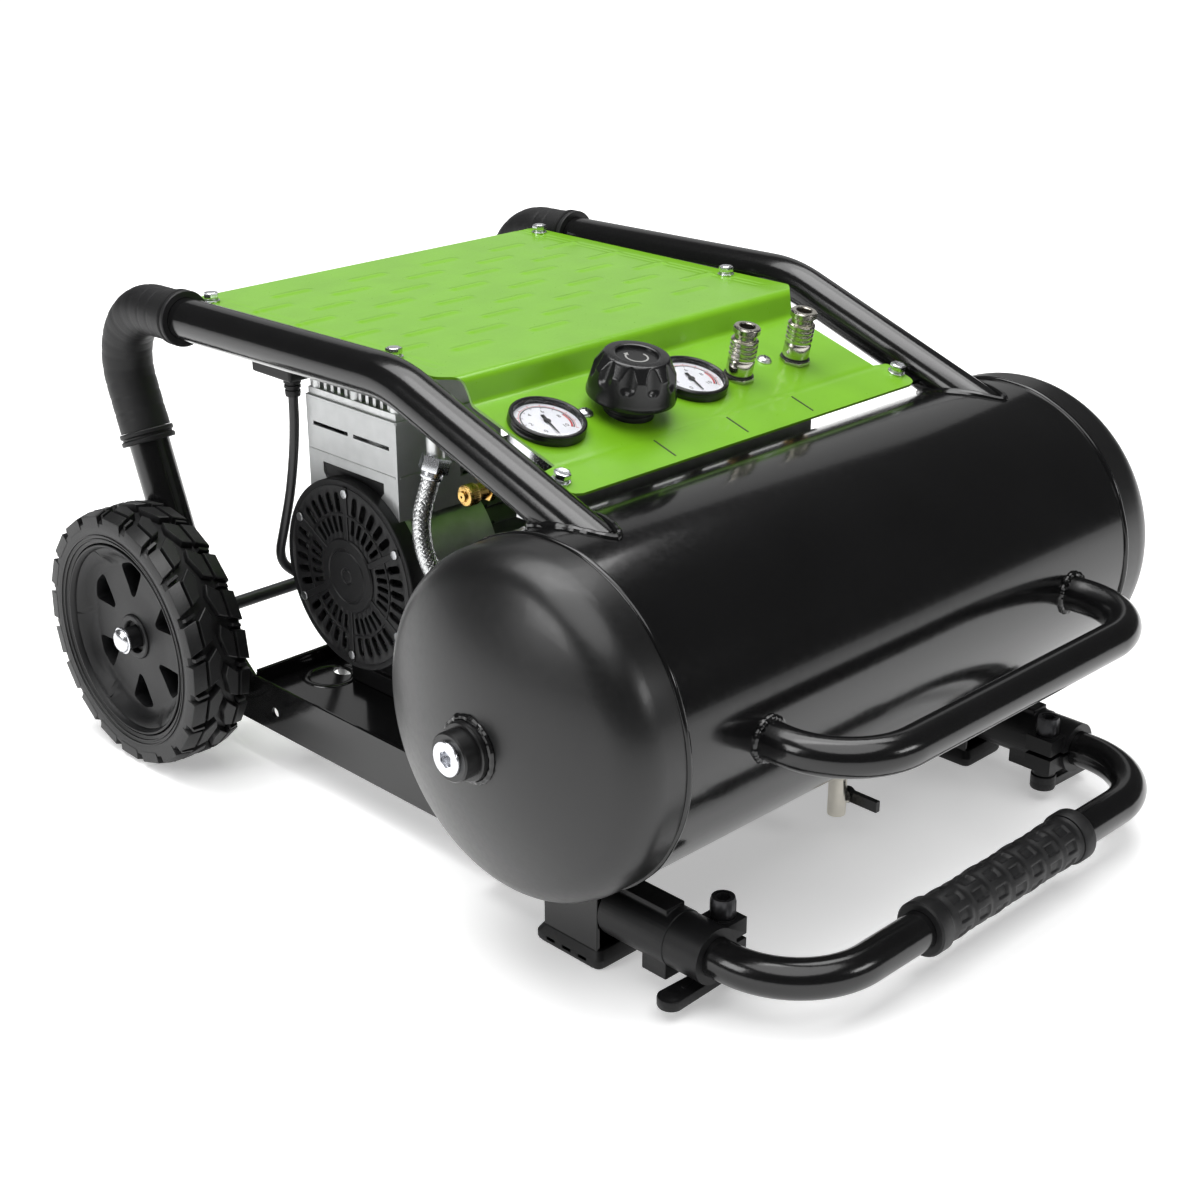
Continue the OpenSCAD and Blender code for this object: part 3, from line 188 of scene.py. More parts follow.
def glass():
    m = bpy.data.materials.new("gauge_glass")
    m.use_nodes = True
    b = m.node_tree.nodes["Principled BSDF"]
    n, l = m.node_tree.nodes, m.node_tree.links
    b.inputs["Base Color"].default_value = (1, 1, 1, 1)
    b.inputs["Transmission Weight"].default_value = 1.0
    b.inputs["IOR"].default_value = 1.25
    t = n.new("ShaderNodeTexNoise")
    t.inputs["Scale"].default_value = 300
    r = n.new("ShaderNodeMapRange")
    r.inputs["To Min"].default_value = 0.01
    r.inputs["To Max"].default_value = 0.04
    l.new(t.outputs["Fac"], r.inputs["Value"])
    l.new(r.outputs["Result"], b.inputs["Roughness"])
    return m


M["glass"] = glass()


# ---- mesh helpers: all of them take mm ----
def place(o, d, up=None):
    """The frame at point o whose Z runs along d."""
    d = V(d).normalized()
    up = V(up) if up is not None else (X if abs(d.x) < 0.9 else Y)
    x = (up - d * up.dot(d)).normalized()
    y = d.cross(x)
    return Matrix.Translation(V(o)) @ Matrix((x, y, d)).transposed().to_4x4()


def shift(x, y, z):
    return Matrix.Translation((x, y, z))


def spin(a):
    return Matrix.Rotation(a, 4, "Z")


def on_panel(x, y, lean=TILT):
    return shift(x, y, panel_z(y)) @ Matrix.Rotation(lean, 4, "X")


def on_valve(x):
    return on_panel(x, VALVE_Y, LEAN)


def in_metres(T):
    """A placing given in mm from the datum, as one in metres in the frame."""
    S = Matrix.Scale(MM, 4)
    return shift(0, DATUM_Y * MM, 0) @ S @ T @ S.inverted()


def cleaned(me, smooth, near=2e-6, flat=None):
    """Joins points nearer than near, in metres, and marks edges sharper than smooth, in degrees.
    Faces flatter to each other than flat are merged, or without it all faces are turned outwards."""
    bm = bmesh.new()
    bm.from_mesh(me)
    if near:
        bmesh.ops.remove_doubles(bm, verts=bm.verts, dist=near)
    if flat:
        bmesh.ops.dissolve_limit(bm, angle_limit=radians(flat), verts=bm.verts, edges=bm.edges)
    else:
        bmesh.ops.recalc_face_normals(bm, faces=bm.faces)
    bm.to_mesh(me)
    bm.free()
    me.shade_smooth()
    me.set_sharp_from_angle(angle=radians(smooth))


def bevelled(ob, width, seg):
    if width:
        b = ob.modifiers.new("edge", "BEVEL")
        b.width, b.segments, b.limit_method = width * MM, seg, "ANGLE"
        b.angle_limit = radians(40)
        b.harden_normals = True
    return ob


def mesh(name, verts, faces, mat, T=None, smooth=35, bevel=0.0, seg=2, near=2e-6):
    me = bpy.data.meshes.new(name)
    if T is not None:
        verts = [T @ V(v) for v in verts]
    me.from_pydata([(v[0] * MM, (v[1] + DATUM_Y) * MM, v[2] * MM) for v in verts], [], faces)
    cleaned(me, smooth, near)
    me.materials.append(M[mat])
    return bevelled(linked(name, me), bevel, seg)


def polar(r, a):
    return r * cos(a), r * sin(a)


def around(p, s, w, r, a):
    """A point at angle a on a circle about p, whose plane holds s and w."""
    return p + s * (r * cos(a)) + w * (r * sin(a))


def end_caps(rows, n):
    """The first and the last ring of a grid as two faces."""
    return [tuple(range(n))[::-1], tuple((rows - 1) * n + j for j in range(n))]


def lengths(pts):
    """How far along the path each point is."""
    at = [0.0]
    for a, b in zip(pts, pts[1:]):
        at.append(at[-1] + (b - a).length)
    return at


def dome(r, z, h):
    """A quarter ellipse, from radius r at height z in to the axis at z + h."""
    return [(r * cos(a), z + h * sin(a)) for a in [pi / 2 * j / 8 for j in range(9)]]


def knurled(r_min, depth, teeth):
    return lambda r, a, h: r - (depth if r > r_min and sin(a * teeth) < 0 else 0)


def soft(pts, r, n=3, closed=False):
    """Rounds the corners of a 2D line."""
    out = []
    k = len(pts)
    for i, p in enumerate(pts):
        p = np.array(p, float)
        if not closed and i in (0, k - 1):
            out.append(tuple(p))
            continue
        a, b = np.array(pts[i - 1], float), np.array(pts[(i + 1) % k], float)
        la, lb = np.linalg.norm(a - p), np.linalg.norm(b - p)
        if la < 1e-6 or lb < 1e-6:
            continue
        q = min(r, 0.45 * la, 0.45 * lb)
        s, e = p + (a - p) / la * q, p + (b - p) / lb * q
        for j in range(n + 1):
            t = j / n
            out.append(tuple((1 - t) ** 2 * s + 2 * t * (1 - t) * p + t * t * e))
    return out


def grid_faces(rows, cols, wrap_r=False, wrap_c=True):
    f = []
    for i in range(rows if wrap_r else rows - 1):
        for j in range(cols if wrap_c else cols - 1):
            a, b = i * cols + j, i * cols + (j + 1) % cols
            c, d = ((i + 1) % rows) * cols + (j + 1) % cols, ((i + 1) % rows) * cols + j
            f.append((a, b, c, d))
    return f


def lathe(name, prof, mat, T, n=64, r_of=None, **k):
    """Turns (radius, height) points about T's Z. r_of(radius, angle, height) may shape the radius."""
    v = []
    for r, h in prof:
        for a in [2 * pi * j / n for j in range(n)]:
            v.append((*polar(r_of(r, a, h) if r_of else r, a), h))
    return mesh(name, v, grid_faces(len(prof), n), mat, T, **k)


def turned(name, radii, heights, r, mat, T, **k):
    """A lathe of a rectangle whose corners are rounded by r."""
    (a, b), (c, d) = radii, heights
    return lathe(name, soft([(a, c), (b, c), (b, d), (a, d)], r), mat, T, **k)


def fillet(pts, radii, step=6.0):
    """A path through pts whose corners are arcs."""
    pts = [V(p) for p in pts]
    out = [pts[0]]
    for i in range(1, len(pts) - 1):
        a, p, b = pts[i - 1], pts[i], pts[i + 1]
        u, w = (p - a).normalized(), (b - p).normalized()
        t = u.angle(w)
        if t < 1e-4:
            out.append(p)
            continue
        r = radii[i]
        cut = r * tan(t / 2)
        s = p - u * cut
        nrm = (w - u * w.dot(u)).normalized()
        c = s + nrm * r
        steps = max(3, int(degrees(t) / step))
        for j in range(steps + 1):
            q = t * j / steps
            out.append(c - nrm * r * cos(q) + u * r * sin(q))
    out.append(pts[-1])
    return out


def dense(pts, gap):
    """Points along a path no further apart than gap."""
    out = [V(pts[0])]
    for a, b in zip(pts, pts[1:]):
        a, b = V(a), V(b)
        k = max(1, int((b - a).length / gap))
        out += [a.lerp(b, j / k) for j in range(1, k + 1)]
    return out


def curve_through(pts, per):
    """A Catmull-Rom curve through the points."""
    p = [V(q) for q in pts]
    p = [p[0] * 2 - p[1]] + p + [p[-1] * 2 - p[-2]]
    out = []
    for i in range(1, len(p) - 2):
        for j in range(per):
            t = j / per
            a, b, c, d = p[i - 1], p[i], p[i + 1], p[i + 2]
            out.append(0.5 * (2 * b + (c - a) * t + (2 * a - 5 * b + 4 * c - d) * t * t
                              + (3 * b - a - 3 * c + d) * t ** 3))
    out.append(p[-2])
    return out


def frames(pts, closed=False):
    """Tangent and two side directions at each point, without twist."""
    n = len(pts)
    along = []
    for i in range(n):
        a = pts[(i - 1) % n] if closed or i else pts[0]
        b = pts[(i + 1) % n] if closed or i < n - 1 else pts[-1]
        along.append((b - a).normalized())
    s = place((0, 0, 0), along[0]).to_3x3().col[0].copy()
    out = []
    for t in along:
        s = (s - t * s.dot(t)).normalized()
        out.append((t, s, t.cross(s)))
    return out


def tube(name, pts, r, mat, n=24, closed=False, r_at=None, inner=None, **k):
    """Sweeps a circle along pts. r_at(i, angle, point) may shape the radius. inner opens both ends."""
    fr = frames(pts, closed)
    v = []
    for i, (p, (t, s, w)) in enumerate(zip(pts, fr)):
        for a in [2 * pi * j / n for j in range(n)]:
            v.append(around(p, s, w, r_at(i, a, p) if r_at else r, a))
    f = grid_faces(len(pts), n, wrap_r=closed)
    if not closed:
        m = len(pts) - 1
        if inner:
            base = len(v)
            for i, sign in ((0, 1), (m, -1)):
                t, s, w = fr[i]
                for depth in (0, 12):
                    c = pts[i] + t * depth * sign
                    v += [around(c, s, w, inner, 2 * pi * j / n) for j in range(n)]
            for e, i in ((0, 0), (1, m)):
                b = base + e * 2 * n
                for j in range(n):
                    q = (j + 1) % n
                    f.append((i * n + j, i * n + q, b + q, b + j))
                    f.append((b + j, b + q, b + n + q, b + n + j))
                f.append(tuple(b + n + j for j in range(n)))
        else:
            f += end_caps(m + 1, n)
    return mesh(name, v, f, mat, **k)


def box(name, lo, hi, mat, T=None, bevel=1.0, seg=3):
    x, y, z = zip(lo, hi)
    v = [(a, b, c) for a in x for b in y for c in z]
    f = [(0, 1, 3, 2), (4, 6, 7, 5), (0, 4, 5, 1), (2, 3, 7, 6), (0, 2, 6, 4), (1, 5, 7, 3)]
    return mesh(name, v, f, mat, T, bevel=bevel, seg=seg)


def plate(name, loops, t, mat, T=None, edge=0.4, smooth=35):
    """A plate from z = 0 to t, of a flat outline and its holes, with rounded edges."""
    cu = bpy.data.curves.new(name, "CURVE")
    cu.dimensions, cu.fill_mode = "2D", "BOTH"
    for loop in loops:
        sp = cu.splines.new("POLY")
        sp.points.add(len(loop) - 1)
        for q, p in zip(sp.points, loop):
            q.co = (p[0] * MM, p[1] * MM, 0, 1)
        sp.use_cyclic_u = True
    cu.offset = -edge * MM
    cu.extrude = (t / 2 - edge) * MM
    cu.bevel_depth, cu.bevel_resolution = edge * MM, 1
    tmp = linked(name, cu)
    dg = bpy.context.evaluated_depsgraph_get()
    me = bpy.data.meshes.new_from_object(tmp.evaluated_get(dg))
    bpy.data.objects.remove(tmp)
    bpy.data.curves.remove(cu)
    me.materials.clear()
    me.materials.append(M[mat])
    me.transform(in_metres(T) @ shift(0, 0, t / 2 * MM))
    cleaned(me, smooth, 1e-6)
    return linked(name, me)


def circle(x, y, r, n):
    return [(x + r * cos(2 * pi * j / n), y + r * sin(2 * pi * j / n)) for j in range(n)]


def slot_loop(x, y, l, w, ang, n=6):
    """A round-ended slot, l long and w wide."""
    out = []
    for s in (1, -1):
        for j in range(n + 1):
            a = pi * j / n - s * pi / 2
            out.append((s * (l - w) / 2 + w / 2 * cos(a), w / 2 * sin(a)))
    c, d = cos(ang), sin(ang)
    return [(x + c * p - d * q, y + d * p + c * q) for p, q in out]


def join(name, obs):
    """One object of several."""
    obs = [o for o in obs if o]
    dg = bpy.context.evaluated_depsgraph_get()
    bm = bmesh.new()
    mats = []
    for o in obs:
        me = bpy.data.meshes.new_from_object(o.evaluated_get(dg))
        me.transform(o.matrix_world)
        idx = []
        for m in me.materials:
            if m not in mats:
                mats.append(m)
            idx.append(mats.index(m))
        for p in me.polygons:
            p.material_index = idx[p.material_index] if idx else 0
        bm.from_mesh(me)
        bpy.data.meshes.remove(me)
    me = bpy.data.meshes.new(name)
    bm.to_mesh(me)
    bm.free()
    for m in mats:
        me.materials.append(m)
    for o in obs:
        d = o.data
        bpy.data.objects.remove(o)
        bpy.data.meshes.remove(d)
    return linked(name, me)


def lump(seed, n, k=5):
    """A repeatable uneven ring, about 1 on average."""
    rnd = random.Random(seed)
    ph = [(rnd.randint(2, 23), rnd.uniform(0, 2 * pi), rnd.uniform(0.02, 0.08)) for _ in range(k)]
    return [1 + sum(a * sin(f * 2 * pi * j / n + p) for f, p, a in ph) for j in range(n)]


RECORD = frame["record"]
HOME = {n: b for b, ns in RECORD["behaviour"]["bodies"].items() for n in ns}


def piece(ob, *nodes):
    """ob stands for the CAD nodes and moves with them."""
    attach(ob, HOME[nodes[0]])
    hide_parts(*nodes)
    return ob


def built(node, parts):
    """The parts as one piece that stands for the node."""
    return piece(join(node + "_piece", parts), node)


def extra(ob, node):
    """ob is a further piece on a node's body, with its finish."""
    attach(ob, HOME[node])
    return ob


def from_cad(node, mat, bevel, paint=()):
    """The CAD node with rounded edges. paint gives another material to faces whose middle passes a test."""
    me = frame["nodes"][node].data.copy()
    me.name = node + "_piece"
    cleaned(me, 30, flat=0.4)
    me.materials.clear()
    me.materials.append(M[mat])
    for i, (other, test) in enumerate(paint):
        me.materials.append(M[other])
        for p in me.polygons:
            if test(p.center / MM):
                p.material_index = i + 1
    return piece(bevelled(linked(node + "_piece", me), bevel, 2), node)


# ---- the supply cord ----
CORD_D = 7.0
ROUTE = [(-159, 157, 280), (-159, 157.6, 260), (-159, 161, 235), (-159, 168, 205),
         (-160, 177, 175), (-159, 184, 157), (-152, 189, 143), (-138, 190, 130), (-120, 192, 112),
         (-106, 196, 92), (-94, 204, 70), (-84, 216, 46), (-74, 232, 22), (-60, 250, 8),
         (-42, 267, 3.7), (-18, 278, 3.6), (10, 281, 3.6)]
COIL = (40.0, 330.0)
COIL_OUT, TURN_STEP, LOW_Z, HIGH_Z = 48.5, 7.0, 3.6, 10.6
LAST_RUN = [(55, 281.7, 10.5), (72, 282.6, 10.1), (90, 283.3, 10)]
PLUG = (126.0, 283.5)


def ease(t):
    t = max(0.0, min(1.0, t))
    return t * t * (3 - 2 * t)


def coil_point(t):
    """Where the coil is after t turns: three turns inwards on the floor, then outwards on top of them."""
    r = COIL_OUT - TURN_STEP * (ease((t - 0.78) / 0.22) + ease((t - 1.78) / 0.22))
    r += TURN_STEP * (ease((t - 3.25) / 0.25) + ease((t - 4.25) / 0.25))
    z = LOW_Z + (HIGH_Z - LOW_Z) * ease((t - 2.5) / 0.28)
    a = 2 * pi * t - pi / 2
    return V((COIL[0] + r * cos(a), COIL[1] + r * sin(a), z))


def supply_cord():
    per = 24
    pts = [V(p) for p in ROUTE] + [coil_point(i / per) for i in range(5 * per + 1)]
    pts += [V(p) for p in LAST_RUN]
    line = curve_through(pts, 3)
    cu = bpy.data.curves.new("supply_cord", "CURVE")
    cu.dimensions = "3D"
    sp = cu.splines.new("POLY")
    sp.points.add(len(line) - 1)
    for q, p in zip(sp.points, line):
        q.co = (p.x * MM, (p.y + DATUM_Y) * MM, p.z * MM, 1)
    cu.bevel_depth, cu.bevel_resolution = CORD_D / 2 * MM, 5
    cu.use_fill_caps = True
    cu.materials.append(M["cord"])
    return piece(linked("supply_cord", cu), "power_cord", "cord_coil"), lengths(line)[-1] * MM


def plug():
    """Moulded plug: ribbed strain relief, waisted body and three blades."""
    x, y = PLUG
    parts = []
    prof = [(3.6, -64), (4.2, -64)]
    for k in range(6):
        prof += [(4.2, -62 + 5 * k), (4.2, -59.5 + 5 * k), (3.7, -59.2 + 5 * k), (3.7, -57.4 + 5 * k)]
    prof = [(min(r, 4.4), h) for r, h in prof] + [(4.4, -31), (4.4, -18), (0, -18)]
    parts.append(lathe("relief", [(0, -64)] + prof, "cord", place((x, y, 10), (1, 0, 0)), n=24))
    half = [(-20, 8), (-16, 11.5), (-6, 12.5), (4, 15), (12, 16.5), (17.5, 16.5)]
    n = 28
    v = []
    for u, w in half:
        hz = 9 + (w - 8) * 0.5
        for c, s in circle(0, 0, 1, n):
            q = 1 / (abs(c) ** 4 + abs(s) ** 4) ** 0.25
            v.append((x + u, y + w * c * q * 0.99, 13.6 + (hz + 0.2) * s * q * 0.99))
    parts.append(mesh("body", v, grid_faces(len(half), n) + end_caps(len(half), n), "cord", bevel=1.2))
    for k in range(5):
        parts.append(box("rib", (x - 10 + 5 * k, y - 6, 26), (x - 8 + 5 * k, y + 6, 27.6), "cord", bevel=0.6))
    for dy, z in ((-8, 15), (8, 15)):
        parts.append(box("blade", (x + 17, y + dy - 0.8, z - 3), (x + 34.5, y + dy + 0.8, z + 3.5), "brass",
                bevel=0.4))
    parts.append(turned("pin", (0, 2.4), (17, 34.5), 1.2, "brass", place((x, y, 8.6), (1, 0, 0)), n=20))
    return piece(join("mains_plug", parts), "plug")


def cord_exit():
    """Tapered strain relief under the switch box."""
    prof = [(3.6, 20), (5.2, 20), (5.3, 19)]
    for k in range(4):
        r = 5.5 + 0.35 * k
        prof += [(r, 17.6 - 3.6 * k), (r, 15.8 - 3.6 * k), (r - 1.1, 15.6 - 3.6 * k),
                (r - 1.1, 14.3 - 3.6 * k)]
    prof += [(7.4, 3.6), (7.9, 3.4), (7.9, 0), (0, 0)]
    return piece(lathe("cord_strain_relief", prof, "plastic", place((-159, 157, 300), (0, 0, -1)), n=40),
                 "cord_gland")


cord_piece, cord_length = supply_cord()
plug_piece = plug()
cord_exit()


# ---- tank ----
def weld_ring(name, o, d, r, seed, bead=2.6, n=96):
    """An uneven bead where a tube of radius r, leaving along d, meets the tank."""
    T = place(o, d).to_3x3()
    s, w, d = T.col[0].copy(), T.col[1].copy(), T.col[2].copy()
    pts = []
    for j in range(n):
        p = around(V(o), s, w, r, 2 * pi * j / n)
        py, pz = p.y - TANK_Y, p.z - TANK_Z
        qa, qb, qc = d.y ** 2 + d.z ** 2, 2 * (py * d.y + pz * d.z), py ** 2 + pz ** 2 - TANK_R ** 2
        pts.append(p + d * ((-qb + sqrt(max(0, qb * qb - 4 * qa * qc))) / (2 * qa)))
    even = lump(seed, n, 7)
    return tube(name, pts, bead, "tank", n=10, closed=True, r_at=lambda i, a, p: bead * even[i])


def tank_shell():
    beads = []
    for mid in (-222, 222):
        beads += [(TANK_R, mid - 2)]
        beads += [(TANK_R + 2 * sin(a), mid - 2 * cos(a)) for a in [pi * j / 6 for j in range(1, 6)]]
        beads += [(TANK_R, mid + 2)]
    prof = [(107, -HALF)] + beads + [(107, HALF)]
    n = 288
    even = lump(11, n, 9)

    def shape(r, a, h):
        if r <= TANK_R:
            return r
        return TANK_R + (r - TANK_R) * min(1.0, 0.8 * even[int(round(a / 2 / pi * n)) % n])
    shell = lathe("shell", prof, "tank", place((0, TANK_Y, TANK_Z), (1, 0, 0)), n=n, r_of=shape)
    bosses = [turned("outlet_boss", (0, 12), (0, 61), 1, "tank", place((20, -72, 180), (0, 0, 1)), n=40),
              turned("drain_boss", (0, 13), (0, 20), 1.2, "tank", place((20, -193, 57), (0, 0, 1)), n=40)]
    rings = [weld_ring("drain_weld", (20, -193, 120), (0, 0, -1), 13.4, 5, 2.2),
             weld_ring("outlet_weld", (20, -72, 180), (0, 0.5, 0.866), 14, 6, 2.2)]
    return built("tank_shell", [shell] + bosses + rings)


def tank_heads():
    cut = asin((TANK_R - KNUCKLE) / (CROWN - KNUCKLE))
    prof = [(TANK_R - 2, 0), (TANK_R, 0), (TANK_R, SKIRT)]
    prof += [(TANK_R - KNUCKLE + KNUCKLE * cos(a), SKIRT + KNUCKLE * sin(a))
             for a in [(pi / 2 - cut) * j / 10 for j in range(1, 11)]]
    low = asin(18 / CROWN)
    prof += [(CROWN * sin(a), SKIRT - DROP + CROWN * cos(a))
             for a in [cut + (low - cut) * j / 18 for j in range(1, 19)]]
    tip = TIP - HALF
    prof += [(18, tip + 4.2), (17.2, tip + 5), (15, tip + 5), (15, tip + 14), (14, tip + 15), (9.5, tip + 15),
             (9, tip + 14.5), (9, tip - 6), (0, tip - 6)]
    parts = []
    for s in (-1, 1):
        T = place((s * HALF, TANK_Y, TANK_Z), (s, 0, 0))
        parts.append(lathe("head", prof, "dome", T, n=192, smooth=25))
        even = lump(20 + s, 96, 7)
        z = SKIRT - DROP + sqrt(CROWN ** 2 - 19 ** 2)
        ring = [T @ V((*q, z)) for q in circle(0, 0, 19, 96)]
        parts.append(tube("boss_weld", ring, 2.4, "tank", n=10, closed=True,
                          r_at=lambda i, a, p, e=even: 2.4 * e[i]))
    return built("tank_heads", parts)


def hex_loop(across_flats):
    return circle(0, 0, across_flats / sqrt(3), 6)


def tank_plugs():
    """Flanged plugs with a hexagon socket."""
    parts = []
    for s in (-1, 1):
        T = place((s * (TIP + 15), TANK_Y, TANK_Z), (s, 0, 0), up=(0, 0, 1))
        parts.append(plate("flange", [circle(0, 0, 10.5, 64), hex_loop(9)], 2.6, "zinc", T, edge=0.5))
        parts.append(lathe("stem", [(5, 0.4), (8.8, 0.4), (8.8, -13), (0, -13), (0, -4), (5, -4), (5, 0.4)],
                "zinc", T, n=48))
    return built("tank_plugs", parts)


# ---- tube frame ----
WELD, BEND, CORNER = (-143.8, 276.4), (5.9, 329.5), (337.0, 323.0)


def unit2(a, b):
    return V((b[0] - a[0], b[1] - a[1])).normalized()


def side_path(x):
    start = V(WELD) - unit2(WELD, BEND) * 35
    leg = unit2(CORNER, AXLE)
    end = V(AXLE) + leg * 18
    return fillet([(x, *start), (x, *BEND), (x, *CORNER), (x, *end)], [0, 100, 45, 0], step=3)


def side_tube(name, s):
    x = s * FRAME_X
    d = unit2(WELD, BEND)
    t = tube("tube", side_path(x), 15, "frame", n=48, inner=13, smooth=40)
    w = weld_ring("weld", (x, WELD[0], WELD[1]), (0, d.x, d.y), 15.6, 31 + s, 2.5)
    return built(name, [t, w])


def elbow_grips():
    run, leg = unit2(CORNER, BEND), unit2(CORNER, AXLE)
    a, b = V(CORNER) + run * 92, V(CORNER) + leg * 100
    parts = []
    for s in (-1, 1):
        x = s * FRAME_X
        pts = dense(fillet([(x, *a), (x, *CORNER), (x, *b)], [0, 45, 0], step=2.5), 1.1)
        at = lengths(pts)

        def ribbed(i, ang, p):
            u = at[i]
            if u < 8 or at[-1] - u < 8:
                return 18.4
            k = (u - 8) % 11.0
            return 18.4 - 0.35 * exp(-((k - 5.5) / 0.9) ** 2) - 0.25 * (0.5 + 0.5 * sin(ang * 3))
        parts.append(tube("grip", pts, 18.4, "rubber", n=48, r_at=ribbed, smooth=30))
        for o, d in ((a, -run), (b, -leg)):
            T = place((x, *o), (0, *d))
            prof = [(15.2, 0.4), (19.3, 0.4), (19.9, 1.2), (19.9, 3.4), (19.2, 4), (18.4, 4.4), (18.4, 5.6),
                    (19.2, 6), (19.9, 6.6), (19.9, 8.8), (19.3, 9.6), (15.2, 9.6)]
            parts.append(lathe("collar", [(r, -h) for r, h in prof], "rubber", T, n=56))
    return built("elbow_grips", parts)


def carry_bar():
    x, front, back, z = 155, -339.7, -228, 168.5
    pts = fillet([(-x, back, z), (-x, front, z), (x, front, z), (x, back, z)], [0, 52, 52, 0], step=3)
    parts = [tube("bar", pts, 12, "frame", n=40)]
    for s in (-1, 1):
        parts.append(weld_ring("weld", (s * x, -250, z), (0, -1, 0), 12.6, 41 + s, 2.6))
    return built("carry_bar", parts)


# ---- pull handle and its clamps ----
def pull_handle():
    x, y, z = HANDLE_X, HANDLE_Y, HANDLE_Z
    pts = fillet([(-x, -73, z), (-x, y, z), (x, y, z), (x, -73, z)], [0, 58, 58, 0], step=3)
    piece(tube("handle_tube_piece", pts, 12.5, "frame", n=40, inner=10.5), "handle_tube")
    prof = [(12.6, -83), (16.6, -83), (17.9, -81.8), (17.9, -72.4), (17, -71.2), (15.4, -71)]
    rows = 92
    prof += [(16.4, -70.5 + 141.0 * j / rows) for j in range(rows + 1)]
    prof += [(15.4, 71), (17, 71.2), (17.9, 72.4), (17.9, 81.8), (16.6, 83), (12.6, 83)]

    def pattern(r, a, h):
        """Seven low swells, each with a ring of oblong hollows."""
        if abs(h) > 70.4 or r > 16.5:
            return r
        if abs(h) > 67:
            return 15.5
        u = (h + 67) / GRIP_SWELL
        k = floor(u)
        swell = 15.0 + 1.45 * sin(pi * (u - k)) ** 0.5
        w = ((a / (2 * pi) * 8 + 0.5 * (k % 2)) % 1.0 - 0.5) * 2 * pi * 16.4 / 8
        d = max(abs((u - k - 0.5) * GRIP_SWELL) / 5.6, abs(w) / 4.2)
        return swell - 1.5 * (1 - ease((d - 0.72) / 0.3))
    piece(lathe("handle_grip_piece", prof, "rubber", place((0, y, z), (1, 0, 0)), n=160, r_of=pattern,
            smooth=40), "handle_grip")


def clamp_screws():
    parts = []
    for s in (-1, 1):
        T = place((s * CLAMP[0], CLAMP[1], 0), (0, 0, 1))
        parts.append(lathe("cap", [(4.6, 52), (7.2, 51.6), (8, 52.4), (8, 61.5), (7.2, 64.4), (5.4, 64.4)],
                "dark_steel", T, n=80, r_of=knurled(7.4, 0.35, 40), smooth=50))
        parts.append(plate("socket", [circle(0, 0, 5.6, 40), hex_loop(8)], 6, "dark_steel",
                           T @ shift(0, 0, 58), edge=0.3))
        parts.append(lathe("shank", [(0, 58), (5.2, 58), (5.2, 52), (4, 51), (4, 8.4), (3.4, 8.1), (0, 8.1)],
                           "dark_steel", T, n=32))
    return built("clamp_screws", parts)


def clamp_lever(name, s):
    """Tapered flat lever with a raised hub and a sunk finger pad."""
    T = shift(s * CLAMP[0], CLAMP[1], 9) @ Matrix.Scale(s, 4, X)
    hub, far = 9.0, 44.0
    loop = [polar(hub, radians(50 + 260 * j / 20)) for j in range(21)]
    loop += [(far + 8.6 * cos(a), 8.6 * sin(a)) for a in [radians(-78 + 156 * j / 14) for j in range(15)]]
    arm = plate("arm", [loop, circle(0, 0, 4.2, 32)], 7, "plastic", T, edge=1.2)
    hubp = turned("hub", (4.2, 9), (5, 11), 0.8, "plastic", T, n=40)
    rib = box("rib", (12, -1.5, 6.4), (34, 1.5, 7.6), "plastic", T, bevel=0.5)
    pad = lathe("pad", [(0, 7.5), (5, 7.5), (6.2, 6.9), (6.4, 6.2)], "plastic", T @ shift(far, 0, 0), n=32)
    return built(name, [arm, hubp, rib, pad])


def rubber_feet():
    """Chamfered pads with grooves in the tread."""
    parts = []
    for s in (-1, 1):
        x, y = s * 190.5, TANK_Y
        lx, ly = 22, 28.5
        rings = [(0, 2.5), (1.2, 0.6), (3, 0), (7, 0), (12, 3.2)]
        v, n = [], 0
        for z, cut in rings:
            a, b = lx - cut, ly - cut
            loop = soft([(-a, -b), (a, -b), (a, b), (-a, b)], 5, 5, closed=True)
            n = len(loop)
            v += [(x + p, y + q, z) for p, q in loop]
        parts.append(mesh("pad", v, grid_faces(len(rings), n) + end_caps(len(rings), n), "rubber", bevel=0.5))
        near, far = sorted((x + s * 21.2, x + s * 22))
        for k in (-1, 0, 1):
            mid = y + 14 * k
            parts.append(box("bead", (near, mid - 4, 3.6), (far, mid + 4, 6.4), "rubber", bevel=0.3))
    return built("rubber_feet", parts)


# ---- wheels ----
HUB_R, WHEEL_IN, WHEEL_R, TREADS = 17.0, 209.5, 96.0, 20


